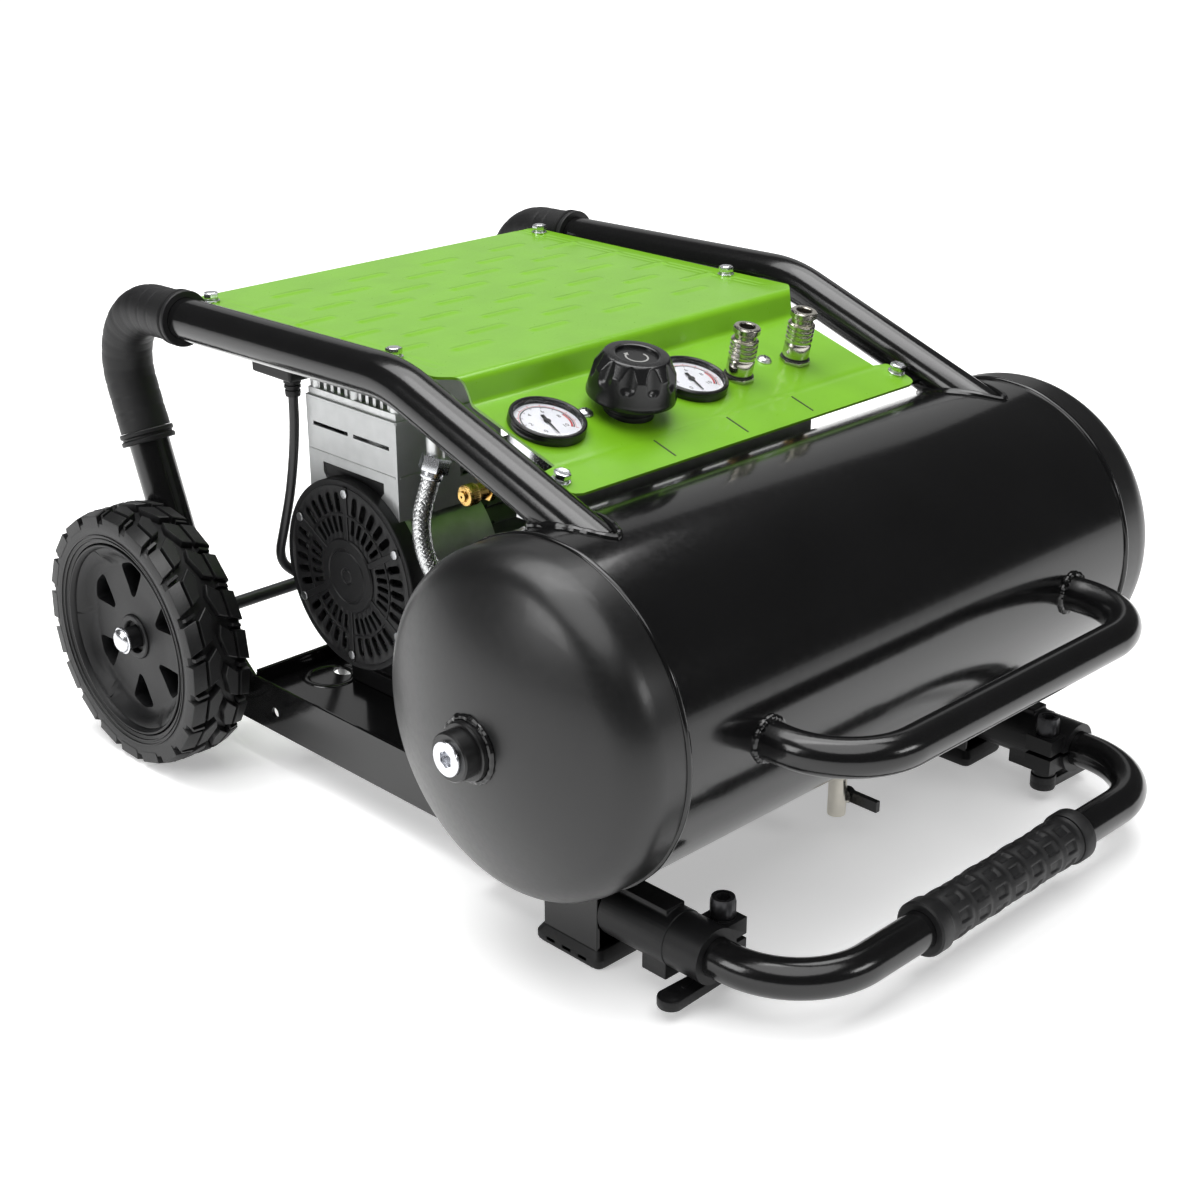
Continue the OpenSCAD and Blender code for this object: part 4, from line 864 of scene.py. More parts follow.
def wheel(name, s):
    """Dished web with six rounded windows, a deep rim and a hub."""
    T = place((s * WHEEL_IN, AXLE[0], AXLE[1]), (s, 0, 0))
    steps = 4

    def web_z(r):
        return 34 + 1.5 * ease((40 - r) / 24) + 9 * ease((r - 57) / 11)
    verts, faces = [], []
    hole = soft([(31, -2), (53, -13.5), (57.5, 0), (53, 13.5), (31, 2)], 4.5, 5, closed=True)
    hl = [V(p) for p in hole]
    c, m = V((46.0, 0.0)), 48
    for k in range(6):
        a0 = pi / 6 + k * pi / 3
        outer, inner = [], []
        for j in range(m):
            d = V(polar(1, 2 * pi * j / m))
            best = None
            for p, q in zip(hl, hl[1:] + hl[:1]):
                e = q - p
                den = d.x * e.y - d.y * e.x
                if abs(den) < 1e-9:
                    continue
                w = p - c
                t = (w.x * e.y - w.y * e.x) / den
                u = (w.x * d.y - w.y * d.x) / den
                if t > 0 and -1e-6 <= u <= 1 + 1e-6:
                    best = t if best is None else min(best, t)
            inner.append(c + d * best)
            lo, hi = 0.0, 200.0
            for _ in range(40):
                mid = (lo + hi) / 2
                q = c + d * mid
                ok = HUB_R - 2 < q.length < 69 and abs(atan2(q.y, q.x)) < pi / 6
                lo, hi = (mid, hi) if ok else (lo, mid)
            outer.append(c + d * lo)
        base = len(verts)
        rings = []
        for t in range(steps + 1):
            rings.append([(o.lerp(i, t / steps * 0.985), 0.0) for o, i in zip(outer, inner)])
        rings.append([(i, -0.8) for i in inner])
        rings.append([(i.lerp(c, 0.04), -12.0) for i in inner])
        for t in range(3):
            rings.append([(i.lerp(o, t / 2), -12.5) for o, i in zip(outer, inner)])
        for ring in rings:
            for q, dz in ring:
                r, a = q.length, atan2(q.y, q.x) + a0
                verts.append((*polar(r, a), web_z(r) + dz))
        faces += [tuple(base + i for i in f) for f in grid_faces(len(rings), m)]
    web = mesh("web", verts, faces, "plastic", T, smooth=40)
    rim = lathe("rim", soft([(68, 4), (71.6, 3.2), (71.9, 46.6), (70.5, 46.8), (68.6, 44.4), (67.6, 40),
            (66.5, 28), (66.5, 8), (68, 4)], 1.0), "plastic", T, n=128)
    hub = lathe("hub", soft([(5.1, 0.2), (15, 0.2), (16, 1.5), (16.8, 30), (17, 36.6), (16, 37.4),
            (12.6, 37.4), (11.6, 36), (11.4, 33), (8.2, 33), (8, 45), (5.1, 45), (5.1, 0.2)], 0.6),
            "plastic", T, n=72)
    back = lathe("back", soft([(16, 17), (67, 17), (67, 19), (16, 19), (16, 17)], 0.4), "plastic", T, n=96)
    return built(name, [web, rim, hub, back])


def tread_block(pts, T, top=96.0, low=88.0):
    """One rubber block: pts are (arc length, place across) on the tread."""
    def at(u, w, r):
        drop = 2.6 * ease((abs(w - 25) - 12) / 13)
        return (*polar(r - drop, u / WHEEL_R), w)
    cx = sum(p[0] for p in pts) / len(pts)
    cy = sum(p[1] for p in pts) / len(pts)
    k = len(pts)
    v = []
    for shrink, r in ((0.9, top), (0.97, top - 0.5), (1.03, low)):
        v += [at(cx + (u - cx) * shrink, cy + (w - cy) * shrink, r) for u, w in pts]
    f = grid_faces(3, k) + [tuple(range(k))]
    return mesh("block", v, f, "tyre", T, smooth=40)


def tyre(name, s):
    T = place((s * WHEEL_IN, AXLE[0], AXLE[1]), (s, 0, 0))
    arc = [(72.1, 6), (73, 4.2), (78, 2.2), (84, 1.2), (88, 1.6), (89.4, 3.4), (90.0, 8), (90.0, 14)]
    prof = arc[:4] + [(85.2, 1.9)] + arc[4:] + [(90.0, 25)] + [(r, 50 - h) for r, h in arc[::-1]]
    prof.append((72.1, 25))
    parts = [lathe("carcass", prof, "tyre", T, n=192, smooth=40)]
    for s2, base in ((1, 0), (-1, 50)):
        for r in (76.0, 79.0):
            z = base + s2 * (2.6 if r < 77 else 1.6)
            parts.append(lathe("side_ring", [(r - 0.7, z + s2 * 0.6), (r - 0.4, z - s2 * 0.5),
                    (r + 0.4, z - s2 * 0.5), (r + 0.7, z + s2 * 0.6)], "tyre", T, n=128))
    pitch = 2 * pi * WHEEL_R / TREADS
    for k in range(TREADS):
        u = k * pitch
        for start, w in ((u, lambda q: q), (u + pitch / 2, lambda q: 50 - q)):
            shoulder = [(1, 1.2), (pitch - 6.5, 1.2), (pitch - 3.5, 11.2), (5.5, 11.2)]
            wedge = [(6, 13), (pitch - 4.5, 13), (pitch + 3.5, 21.5), (pitch - 4, 24), (9.5, 20)]
            bar = [(pitch - 3.2, 4), (pitch - 0.6, 4), (pitch + 1.6, 11.6), (pitch - 0.6, 12.4)]
            for outline in (shoulder, wedge, bar):
                parts.append(tread_block([(start + a, w(b)) for a, b in outline], T))
    return built(name, parts)


def axle_caps():
    parts = []
    for s in (-1, 1):
        T = place((s * 255.5, AXLE[0], AXLE[1]), (s, 0, 0))
        parts.append(lathe("cap", [(10, -0.3), (10, 1.0), (9.4, 1.4)] + dome(8.8, 1.5, 4.2), "zinc", T, n=56))
    return built("axle_caps", parts)


# ---- cover ----
TOP_HALF, PANEL_HALF, STRIP_HALF, RUN, STRIP = 170.0, 155.0, 168.0, 108.8, 31.0
STRIP_Y = FOLD[0] - (RUN - STRIP) * cos(TILT) - 1.5
EMBOSS_L, EMBOSS_W, EMBOSS_H = 38.0, 10.0, 1.15


def cover_line():
    """(y, z) of the sheet's upper face from the rear edge down to the front, with rounded folds."""
    low = (FOLD[0] - RUN * cos(TILT), FOLD[1] - RUN * sin(TILT))
    p = fillet([(0, 265, 330), (0, -20.2, 330), (0, *FOLD), (0, *low)], [0, 7, 5, 0], step=8)
    return dense(p, 1.9)


def corner(r, d):
    """How much a corner of radius r takes off the width at d past its start."""
    return r * (1 - sqrt(max(0, 1 - (d / r) ** 2)))


def half_at(y):
    """Half the sheet's width at a place along it."""
    y_end = FOLD[0] - RUN * cos(TILT)
    y_strip = y_end + STRIP * cos(TILT)
    if y > -6:
        return TOP_HALF - corner(7, max(0, y - 258))
    if y > -30:
        return TOP_HALF + (PANEL_HALF - TOP_HALF) * ease((-6 - y) / 20)
    if y >= y_strip - 0.8:
        return PANEL_HALF
    if y > y_strip - 5:
        return STRIP_HALF - corner(5, y - y_strip + 5)
    return STRIP_HALF - corner(8, max(0, y_end + 8 - y))


def emboss(x, y):
    """Height of the pressed pattern on the flat top."""
    best = 0.0
    row = round((y - 30) / 24.5)
    if 0 <= row <= 8:
        odd = row % 2
        k = round((x + 105 + odd * 35) / 70)
        if 0 <= k <= 3 + odd:
            dx = max(0.0, abs(x + 105 - k * 70 + odd * 35) - (EMBOSS_L - EMBOSS_W) / 2)
            d = hypot(dx, y - 30 - row * 24.5)
            best = EMBOSS_H * (1 - ease(d / (EMBOSS_W / 2)))
    return best


def top_cover():
    line = cover_line()
    n_across = 180
    top, under = [], []
    for i, p in enumerate(line):
        a, b = line[max(0, i - 1)], line[min(len(line) - 1, i + 1)]
        d = (b - a).normalized()
        nrm = V((0, d.z, -d.y))
        if nrm.z < 0:
            nrm = -nrm
        h = half_at(p.y)
        for j in range(n_across + 1):
            x = -h + 2 * h * j / n_across
            e = emboss(x, p.y) if p.y > 20 else 0.0
            if p.y > 4:
                ax = abs(abs(x) - 151.5)
                e -= 0.45 * exp(-(ax / 1.1) ** 2) + 0.45 * exp(-((abs(x) - 157) / 1.1) ** 2)
            e -= 0.5 * exp(-((p.y - STRIP_Y) / 1.3) ** 2)
            q = V((x, p.y, p.z))
            top.append(q + nrm * e)
            under.append(q - nrm * 1.9)
    cols, rows = n_across + 1, len(line)
    v = top + under
    f = grid_faces(rows, cols, wrap_c=False)
    off = len(top)
    f += [tuple(off + i for i in q[::-1]) for q in f]
    rim = [(i * cols + j, (i + 1) * cols + j) for i in range(rows - 1) for j in (0, cols - 1)]
    rim += [(i * cols + j, i * cols + j + 1) for j in range(cols - 1) for i in (0, rows - 1)]
    f += [(a, b, off + b, off + a) for a, b in rim]
    parts = [mesh("sheet", v, f, "green", smooth=50, near=0)]
    y_strip = FOLD[0] - (RUN - STRIP / 2) * cos(TILT)
    for x in (-74, -5.5, 60):
        parts.append(box("divider", (x - 0.6, -10, 0.02), (x + 0.6, 10, 0.3), "ink",
                         on_panel(0, y_strip), bevel=0.1, seg=1))
    return built("top_cover", parts)


def hex_bolt(T):
    """Washer, spring washer and a hexagon head with a dished top, its seat at Z = 0."""
    parts = [turned("washer", (3.2, 6.2), (0, 1.2), 0.3, "zinc", T, n=40),
             turned("spring", (3.2, 5), (1.2, 2.6), 0.3, "steel", T, n=36)]
    head = plate("head", [hex_loop(9.6)], 4, "zinc", T @ shift(0, 0, 2.6), edge=0.5)
    dish = lathe("dish", [(0, 6.66), (2.2, 6.68), (3.4, 6.9), (3.9, 6.9), (4.3, 6.6)], "zinc", T, n=30)
    return parts + [head, dish]


def cover_fasteners():
    parts = []
    for s in (-1, 1):
        for y in (43.6, 247.3):
            parts += hex_bolt(shift(s * 159.6, y, 330) @ spin(0.3 * s + y))
        parts += hex_bolt(on_panel(s * 163.6, -115.2))
    for x in (-93, 80):
        T = on_panel(x, -64)
        parts.append(lathe("pan_head", [(5.3, 0), (5.3, 0.7)] + dome(5.0, 0.8, 2.4), "steel", T, n=40))
        for ang in (pi / 4, -pi / 4):
            parts.append(box("cross", (-2.4, -0.55, 2.2), (2.4, 0.55, 3.26), "ink",
                             T @ spin(ang), bevel=0.15, seg=1))
    return built("cover_fasteners", parts)


# ---- gauges ----
GAUGE_X, GAUGE_Y = (-128.0, 4.0), -65.0


def digits(text, size, T):
    cu = bpy.data.curves.new("digits", "FONT")
    cu.body, cu.size = text, size * MM
    cu.align_x, cu.align_y = "CENTER", "CENTER"
    cu.extrude = 0.03 * MM
    tmp = linked("digits", cu)
    me = bpy.data.meshes.new_from_object(tmp.evaluated_get(bpy.context.evaluated_depsgraph_get()))
    bpy.data.objects.remove(tmp)
    me.transform(in_metres(T))
    me.materials.clear()
    me.materials.append(M["ink"])
    return linked("digits", me)


def arc_band(name, r0, r1, a0, a1, z, mat, T, t=0.12, n=40):
    v = []
    for j in range(n + 1):
        a = a0 + (a1 - a0) * j / n
        c, s = cos(a), sin(a)
        v += [(r0 * c, r0 * s, z), (r1 * c, r1 * s, z), (r1 * c, r1 * s, z + t), (r0 * c, r0 * s, z + t)]
    f = grid_faces(n + 1, 4) + [(0, 1, 2, 3), (4 * n + 3, 4 * n + 2, 4 * n + 1, 4 * n)]
    return mesh(name, v, f, mat, T)


def gauges():
    cases, dials, lenses = [], [], []
    z = 3.0
    start, sweep = radians(225), radians(270)
    for x in GAUGE_X:
        T = on_panel(x, GAUGE_Y)
        cases.append(lathe("bezel", [(22.4, -0.5), (22.9, 0.1), (25.0, 0.1), (25.3, 0.8), (25.3, 3.6),
                (24.9, 4.6), (24.9, 5.2), (25.2, 5.6), (25.0, 6.6), (24.2, 7.35), (23.0, 7.5), (22.3, 6.9),
                (22.1, 5.8), (22.0, 2.4), (22.4, -0.5)], "gloss_plastic", T, n=128))
        cases.append(lathe("case", soft([(0, -20), (22.4, -20), (22.5, -0.4), (22.2, 2.2), (0, 2.2)], 1.2),
                "zinc", T, n=96))
        cases.append(turned("stem", (0, 6), (-30, -20), 0.4, "brass", T, n=6, smooth=20))
        dials.append(turned("dial", (0, 21.9), (2.3, z), 0.2, "dial", T, n=96))
        dials.append(arc_band("scale", 16.9, 17.6, start, start - sweep, z - 0.02, "ink", T))
        dials.append(arc_band("limit", 15.2, 16.4, start - sweep * 0.8, start - sweep, z - 0.02, "red_ink",
                T))
        for k in range(51):
            a = start - sweep * k / 50
            r0, w = (16.4, 0.1) if k % 5 else (15.2, 0.22)
            dials.append(box("tick", (r0, -w, z - 0.02), (17.6, w, z + 0.1), "ink", T @ spin(a), bevel=0,
                    seg=1))
            if k % 10 == 0:
                dials.append(digits(str(k // 10 * 2), 4.6, T @ shift(*polar(12.0, a), z + 0.03)))
        for k in range(11):
            a = start - sweep * k / 10
            dials.append(box("mark", (18.4, -0.16, z - 0.02), (20.2, 0.16, z + 0.1), "red_ink",
                             T @ spin(a), bevel=0, seg=1))
        dials.append(arc_band("outer_scale", 18.2, 18.5, start, start - sweep, z - 0.02, "red_ink", T))
        dials.append(turned("stop_pin", (0, 0.5), (2.9, 3.5), 0.1, "steel", T @ shift(-3.2, -16, 0), n=12))
        glass_prof = [(22.0 * sin(a), 4.9 + 1.2 * cos(a)) for a in [pi / 2 * j / 12 for j in range(13)]]
        under = [(r, h - 0.5) for r, h in glass_prof[::-1]]
        lenses.append(lathe("lens", glass_prof + under, "glass", T, n=96))
    built("gauge_cases", cases)
    built("gauge_dials", dials)
    built("gauge_lenses", lenses)
    for node, x in (("tank_needle", GAUGE_X[0]), ("tool_needle", GAUGE_X[1])):
        T = on_panel(x, GAUGE_Y) @ spin(radians(-12))
        arm = plate("arm", [[(-0.7, -2), (-0.22, -14.6), (0, -15), (0.22, -14.6), (0.7, -2), (1.1, 3.5),
                (1.2, 6.9), (-1.2, 6.9), (-1.1, 3.5)]], 0.5, "ink", T @ shift(0, 0, 3.65), edge=0.12)
        hub = turned("hub", (0, 2.4), (3.6, 4.2), 0.25, "ink", T, n=32)
        built(node, [arm, hub])


# ---- regulator ----
REGULATOR_X = -63.0


def regulator():
    T = on_valve(REGULATOR_X)
    collar = soft([(7, -1.4), (17, -1.4), (17, 2.2), (15.8, 2.8), (15.8, 9.4), (7, 9.4)], 0.6)
    body = [lathe("nut_plate", collar, "plastic", T, n=64),
            turned("base", (0, 15.5), (-34, -1.4), 1, "cast", T, n=48),
            turned("stem", (0, 7), (9, 24), 0.8, "plastic", T, n=32)]
    built("regulator_body", body)

    def fluted(r, a, h):
        """Ten hollows that run out towards the skirt."""
        if r < 19 or h < 22:
            return r
        k = a / (2 * pi) * 10
        off = (k - round(k)) * 2 * pi / 10 * 26
        cut = 26.6 - 0.31 * (h - 22) + 3.4 * (off / 6.2) ** 2
        return min(r, cut + 3 * (1 - ease((h - 22) / 3)))
    prof = [(25, 11.2), (28.6, 11), (29.4, 11.6), (29.5, 13.6), (29.3, 14.4)]
    prof += [(29.3 + (26.6 - 29.3) * j / 12, 14.4 + (31 - 14.4) * j / 12) for j in range(1, 13)]
    prof += [(26.3 + (21.6 - 26.3) * j / 8, 31.4 + (39 - 31.4) * j / 8) for j in range(9)]
    prof += [(21.0, 39.6), (20.2, 39.9), (14.8, 39.9), (14.1, 39.5), (13.8, 37.7), (0, 37.6)]
    knob = lathe("grip", prof[:1] + prof, "gloss_plastic", T, n=240, r_of=fluted, smooth=32)
    skirt = lathe("inside", soft([(25.0, 11.2), (24.6, 19), (7.2, 19), (7.2, 11.6)], 0.5), "plastic", T, n=64)
    ring = turned("ring", (15.4, 18.8), (39.8, 40.0), 0.05, "gloss_plastic", T, n=96)
    a0 = radians(120)
    mark = arc_band("turn_mark", 6.6, 7.8, a0, a0 + radians(250), 37.55, "white_ink", T, t=0.25)
    tip = plate("turn_tip", [[(0, -1.9), (3.4, 0), (0, 1.9)]], 0.3, "white_ink",
                T @ spin(a0) @ shift(7.2, 0, 37.5) @ spin(-pi / 2), edge=0.08)
    built("regulator_knob", [knob, skirt, ring, mark, tip])


# ---- couplers ----
COUPLERS = {"coupler_sleeve_inner": 43, "coupler_sleeve_outer": 102}


def couplers():
    bodies = []
    for x in COUPLERS.values():
        T = on_valve(x)
        bodies.append(turned("stem", (3, 8), (-32, -3), 0.5, "brass", T, n=40))
        bodies.append(plate("hex", [hex_loop(19)], 5.4, "nickel", T @ shift(0, 0, -3), edge=0.7))
        bodies.append(turned("seal", (7.6, 10.4), (2.2, 3.1), 0.3, "ink", T, n=48))
        bodies.append(lathe("barrel", [(7.5, 2), (7.5, 32.2), (7.0, 32.6), (7.0, 33), (8.7, 33.1),
                (9.3, 33.7), (9.3, 36.8), (8.6, 37.7), (7.0, 38), (5.8, 37.8), (5.3, 37.2), (5.25, 13),
                (0, 12.4)], "nickel", T, n=72))
        bodies.append(lathe("bore_seal", soft([(5.2, 27), (4.6, 27.6), (4.6, 28.6), (5.2, 29.2)], 0.2),
                "rubber", T, n=40))
    built("coupler_bodies", bodies)
    for node, x in COUPLERS.items():
        T = on_valve(x)
        prof = [(7.65, 3.4), (8.9, 3.3), (9.3, 3.9), (9.35, 13.4), (8.9, 14.1), (8.6, 15.2)]
        for k in range(4):
            h = 16 + 3.4 * k
            prof += [(8.7, h - 0.3), (9.45, h + 0.2), (9.55, h + 1.0), (9.45, h + 1.9), (8.7, h + 2.3)]
        prof += [(8.8, 28.9), (8.4, 29.2), (7.65, 29.2), (7.65, 3.4)]
        piece(lathe(node + "_piece", prof, "nickel", T, n=96, smooth=45), node)


# ---- air circuit ----
def safety_valve():
    T = place((-135.5, -20, 251), (-1, 0, 0))
    neck = [(1.8, 4.6), (5.6, 4.8), (5.8, 6), (5.8, 13.6), (5.2, 14.2), (1.8, 14.2)]
    parts = [plate("hex", [hex_loop(13.8)], 5, "brass", T, edge=0.5), lathe("neck", neck, "brass", T, n=48)]
    parts.append(lathe("cap", [(1.8, 14.0), (6.6, 14.0), (7.2, 14.7), (7.2, 21.6), (6.4, 22.6), (3.8, 22.9),
            (3.6, 21.4), (1.8, 21.4)], "brass", T, n=144, r_of=knurled(6.9, 0.3, 36), smooth=50))
    parts.append(turned("thread", (0, 5), (-8, 0.4), 0.4, "brass", T, n=32))
    return built("safety_valve", parts)


def hose_line():
    """Centreline of the delivery hose, from the check valve up to the outlet fitting."""
    top, bend = V((-147.7, 25, 250)), V((-166, 28, 198))
    d = V((0, 104.8, -30)).normalized()
    root = V((-131, TANK_Y + 104.8, TANK_Z - 30))
    elbow = root + d * 20
    low = elbow + (bend - elbow).normalized() * 20
    return dense(fillet([low, bend, top], [0, 62, 0], step=2.5), 2.0), top, bend


def delivery_hose():
    """A hose in a braid of two crossed sets of wires, with a crimped end and a swivel nut."""
    pts, top, bend = hose_line()
    parts = [tube("core", pts, 5.75, "rubber", n=28)]
    fine = dense(pts, 1.3)
    at = lengths(fine)
    fr = frames(fine)
    sets, lay = 10, 30.0
    for hand in (1, -1):
        for k in range(sets):
            line = []
            for p, (t, s, w), u in zip(fine, fr, at):
                a = hand * 2 * pi * u / lay + 2 * pi * k / sets
                r = 6.0 + 0.22 * hand * sin(2 * pi * (u / lay * sets + k / 2))
                line.append(around(p, s, w, r, a))
            strand = frames(line)
            v = []
            for p, q, (t, s, w) in zip(fine, line, strand):
                out = (q - p).normalized()
                side = t.cross(out)
                v += [q + side * 1.15, q + out * 0.28 + side * 0.6, q + out * 0.28 - side * 0.6,
                        q - side * 1.15]
            parts.append(mesh("strand", v, grid_faces(len(fine), 4, wrap_c=False), "braid", smooth=60))
    u = (top - bend).normalized()
    parts.append(lathe("ferrule", [(6.2, -1), (7.4, -0.9), (7.8, -0.3), (7.8, 1.2), (7.3, 1.6), (7.3, 2.4),
            (7.8, 2.8), (7.8, 4.6), (6, 4.8)], "zinc", place(top, u), n=56))
    parts.append(plate("nut", [hex_loop(18.2)], 11, "zinc", place(top + u * 4, u), edge=1.0))
    return built("delivery_hose", parts)


# ---- switch ----
def switch():
    lo, hi = (-168, 147.2, 292), (-118, 192, 328)
    (x0, y0), (x1, y1) = lo[:2], hi[:2]
    parts = [box("case", lo, (x1, y1, 319.4), "plastic", bevel=2.5, seg=4),
             box("lid", (x0, y0, 320.2), hi, "plastic", bevel=2.5, seg=4),
             box("seam", (x0 + 0.7, y0 + 0.7, 318), (x1 - 0.7, y1 - 0.7, 321), "plastic", bevel=0.4)]
    for x, y in ((-124, 153), (-162, 186), (-124, 186)):
        parts.append(turned("screw", (0, 2.6), (291.4, 292.6), 0.4, "zinc", shift(x, y, 0.7), n=24))
    parts.append(turned("guard", (11.6, 13.6), (0, 1.0), 0.3, "plastic",
                       place((-143, 191.5, 312), (0, 1, 0)), n=56))
    built("switch_box", parts)
    knob = lathe("switch_knob_piece", [(3.9, 0), (3.9, 12), (10.2, 12.2), (11, 13), (11, 17.6), (10, 19.3),
            (7.6, 19.9), (6.4, 19.1), (0, 18.9)], "red", place((-143, 187, 312), (0, 1, 0)), n=64)
    piece(knob, "switch_knob")


# ---- motor and pump ----
def fan_grille():
    """Round guard: flat rim, two rings of slots with ribs between, and a raised centre with a groove."""
    T = place((-163, MOTOR_Y, MOTOR_Z), (1, 0, 0), up=(0, 0, 1))
    loops = [circle(0, 0, 64.6, 120)]
    for k in range(36):
        if k % 6:
            a = radians(10 * k)
            loops += [slot_loop(*polar(37, a), 12, 3.4, a), slot_loop(*polar(52.5, a), 14, 5.2, a)]
    parts = [plate("disc", loops, 3, "plastic", T, edge=0.5)]
    parts.append(lathe("rim", [(64, 0.6), (66, 0), (68.4, 0), (69, 0.7), (69, 12.4), (68.6, 13), (65.4, 13),
            (65, 12.4), (65, 3), (64, 2.6), (64, 0.6)], "plastic", T, n=160))
    parts.append(lathe("centre", [(27, 2), (27, -0.8), (26.2, -1.9), (20.4, -2), (19.8, -1.2), (18.4, -1.2),
            (17.8, -2), (6.4, -2), (5.8, -1.4), (4.6, -1.4), (4, -1.9), (0, -2)], "plastic", T, n=96))
    parts.append(lathe("mid_ring", [(43.4, 0.4), (43.8, -0.7), (45.2, -0.7), (45.6, 0.4)], "plastic", T,
            n=120))
    for k in range(6):
        R = T @ spin(radians(60 * k))
        parts.append(box("rib", (26, -2.2, -1.0), (65, 2.2, 1.2), "plastic", R, bevel=0.6))
        parts.append(turned("screw", (0, 3.2), (-1.6, -0.6), 0.4, "steel", R @ shift(60, 0, 0), n=24))
    return built("fan_grille", parts)


def silver_rim():
    """Bright band of the housing that shows behind the guard."""
    T = place((-151, MOTOR_Y, MOTOR_Z), (1, 0, 0))
    prof = [(63, 0.4), (67.8, 0.4), (68.4, 0.9), (68.4, 4.6), (67.8, 5.2), (63, 5.2), (63, 0.4)]
    return extra(lathe("housing_band", prof, "cowl", T, n=128), "crankcase")


def right_face(c):
    """The head's dark right face."""
    return c.x > -62.9


def black_insert(c):
    """The sunk panel of the shroud above the fan guard."""
    return -153.6 < c.x < -151.8 and 61 < c.y - DATUM_Y < 137 and 213 < c.z < 242


def cowl_details():
    """Step line round the shroud, and corner screws on the head."""
    parts = [box("step_front", (-153, 50.45, 243.2), (-64, 51.2, 244.6), "cowl", bevel=0.3),
             box("step_left", (-155.45, 53, 243.2), (-154.8, 146, 244.6), "cowl", bevel=0.3),
             box("lip_front", (-154.6, 50.5, 281), (-62.4, 51.4, 283), "cowl", bevel=0.3),
             box("lip_left", (-155.5, 51.4, 281), (-154.6, 147.6, 283), "cowl", bevel=0.3)]
    extra(join("cowl_steps", parts), "cowl")
    screws = []
    for x in (-148.5, -68.5):
        for y in (57.5, 99.5, 141.5):
            T = shift(x, y, 304.6)
            screws.append(lathe("cap", [(3.9, -1), (3.9, 1.6), (3.4, 2.2), (2.0, 2.2), (1.9, 0.6), (0, 0.5)],
                    "steel", T, n=40))
    extra(join("head_screws", screws), "cylinder_head")


def tray_details():
    """Folded edge on the tray's rear lip and pressed rings on its floor."""
    parts = []
    for x in (-141, 141):
        parts.append(lathe("ring", [(15, 60.3), (16.2, 61.3), (18, 61.6), (19.8, 61.3), (21, 60.3)], "tray",
                           shift(x, 157, 0), n=72))
    parts.append(tube("hem", dense([(-186, 183.9, 70.2), (186, 183.9, 70.2)], 20), 1.7, "tray", n=14))
    extra(join("tray_pressings", parts), "base_tray")


def cad_pieces():
    """Parts whose shape comes straight from the CAD, with rounded edges and a better surface."""
    for node, mat, bevel in (("cover_tabs", "frame", 0.6), ("base_tray", "tray", 0.5), ("guide_tubes",
            "frame", 0.3), ("guide_sleeves", "plastic", 0.9), ("clamp_rings", "plastic", 0.8),
            ("foot_brackets", "frame", 0.8), ("axle", "dark_steel", 0.4), ("manifold", "cast", 0.8),
            ("safety_stem", "brass", 0.2), ("check_valve", "brass", 0.5), ("drain_valve", "nickel", 0.4),
            ("drain_lever", "gloss_plastic", 0.7), ("motor_housing", "housing", 0.4), ("motor_mounts",
            "rubber", 1.0), ("stator", "copper", 0.6), ("rotor", "steel", 0.5), ("cooling_fan", "plastic",
            0.2), ("crankcase", "cast", 0.5), ("piston", "cast", 0.3)):
        from_cad(node, mat, bevel)
    from_cad("cylinder_head", "cast", 0.5, [("plastic", right_face)])
    from_cad("cowl", "cowl", 0.3, [("plastic", black_insert)])


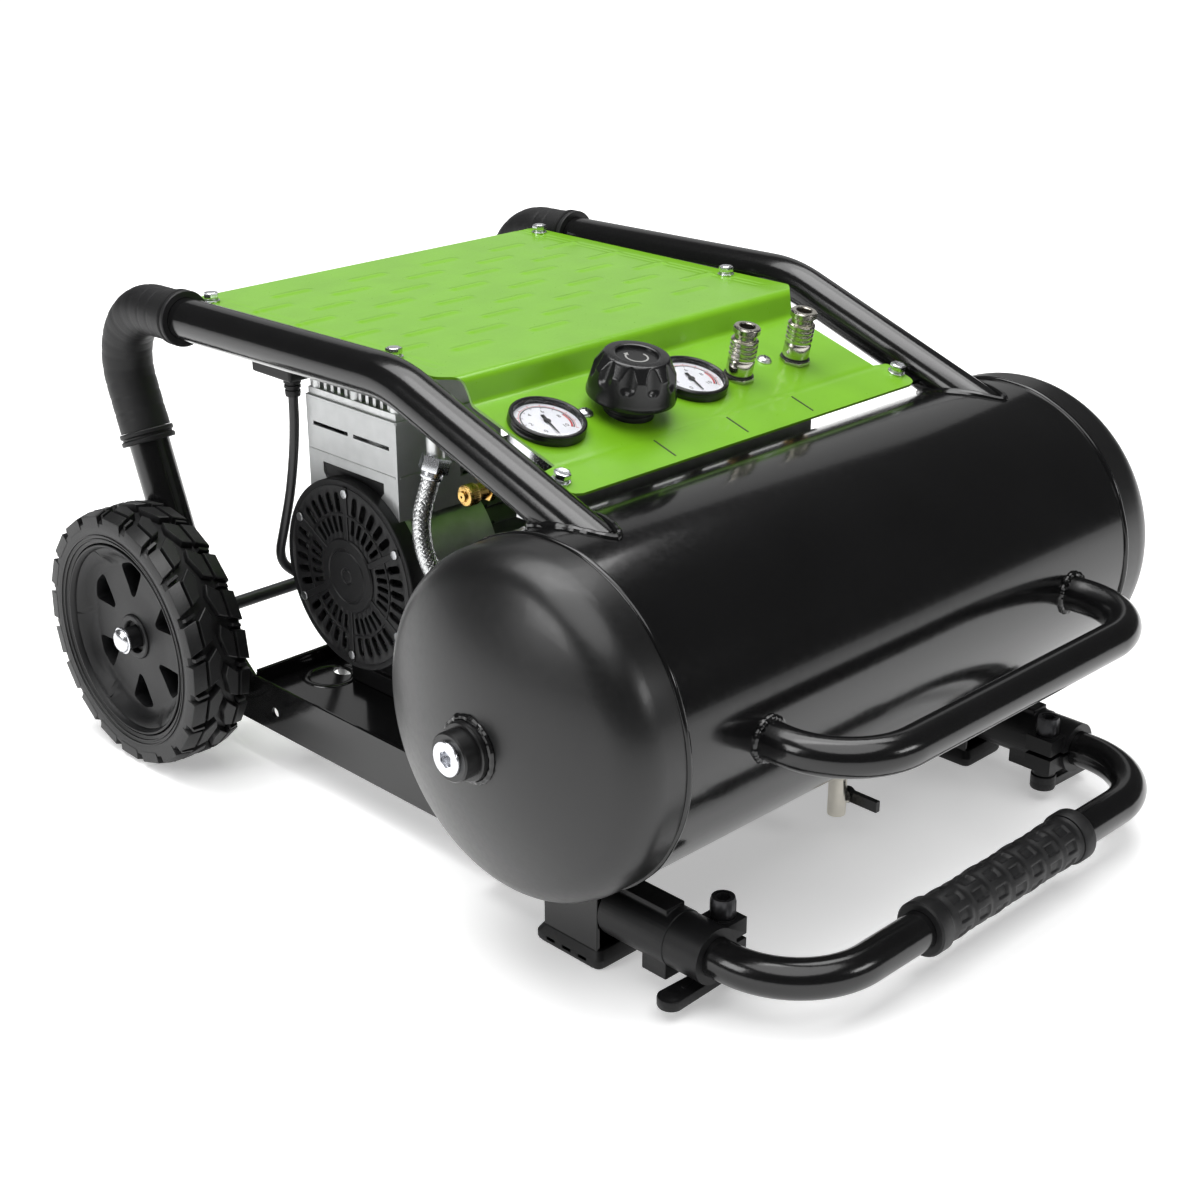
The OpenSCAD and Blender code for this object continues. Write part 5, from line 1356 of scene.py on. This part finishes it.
# ---- studio ----
def studio():
    me = bpy.data.meshes.new("floor")
    k = FLOOR_HALF
    me.from_pydata([(-k, -k, 0), (k, -k, 0), (k, k, 0), (-k, k, 0)], [], [(0, 1, 2, 3)])
    m = bpy.data.materials.new("floor_white")
    m.use_nodes = True
    b = m.node_tree.nodes["Principled BSDF"]
    b.inputs["Base Color"].default_value = (0.92, 0.92, 0.92, 1)
    b.inputs["Roughness"].default_value = 0.85
    b.inputs["Specular IOR Level"].default_value = 0.2
    b.inputs["Emission Color"].default_value = (1, 1, 1, 1)
    b.inputs["Emission Strength"].default_value = FLOOR_GLOW
    me.materials.append(m)
    floor = linked("floor", me)
    floor.location.z = -0.0002
    w = bpy.data.worlds.new("studio")
    w.use_nodes = True
    w.node_tree.nodes["Background"].inputs["Color"].default_value = (1, 1, 1, 1)
    w.node_tree.nodes["Background"].inputs["Strength"].default_value = WORLD
    scene.world = w
    for name, at, to, size, power in LIGHTS:
        d = bpy.data.lights.new(name, "AREA")
        d.shape, d.size, d.size_y, d.energy = "RECTANGLE", size[0], size[1], power
        ob = linked(name, d)
        ob.location = at
        ob.rotation_euler = (V(to) - V(at)).to_track_quat("-Z", "Y").to_euler()
    d = bpy.data.lights.new("sky", "SUN")
    d.energy, d.angle = SUN, radians(60)
    linked("sky", d).rotation_euler = (radians(8), radians(-10), 0)


WORLD, SUN, FLOOR_GLOW, FLOOR_HALF = 0.06, 2.3, 0.38, 14.0
# name, place, aim, size and power
LIGHTS = [("back_box", (2.0, 2.2, 1.5), (0, 0, 0.3), (3.0, 1.6), 6.5),
          ("top_box", (0.2, 0.5, 2.3), (0, -0.1, 0.2), (2.6, 1.2), 44),
          ("left_box", (-2.8, 0.6, 1.5), (0, 0, 0.2), (1.2, 1.2), 30),
          ("front_box", (0.9, -2.6, 1.3), (0, -0.2, 0.2), (1.0, 0.5), 12)]

tank_shell()
tank_heads()
tank_plugs()
side_tube("side_tube_left", -1)
side_tube("side_tube_right", 1)
elbow_grips()
carry_bar()
pull_handle()
clamp_screws()
clamp_lever("clamp_lever_left", -1)
clamp_lever("clamp_lever_right", 1)
rubber_feet()
wheel("wheel_left", -1)
wheel("wheel_right", 1)
tyre("tyre_left", -1)
tyre("tyre_right", 1)
axle_caps()
top_cover()
cover_fasteners()
gauges()
regulator()
couplers()
safety_valve()
delivery_hose()
switch()
fan_grille()
silver_rim()
cad_pieces()
cowl_details()
tray_details()
studio()
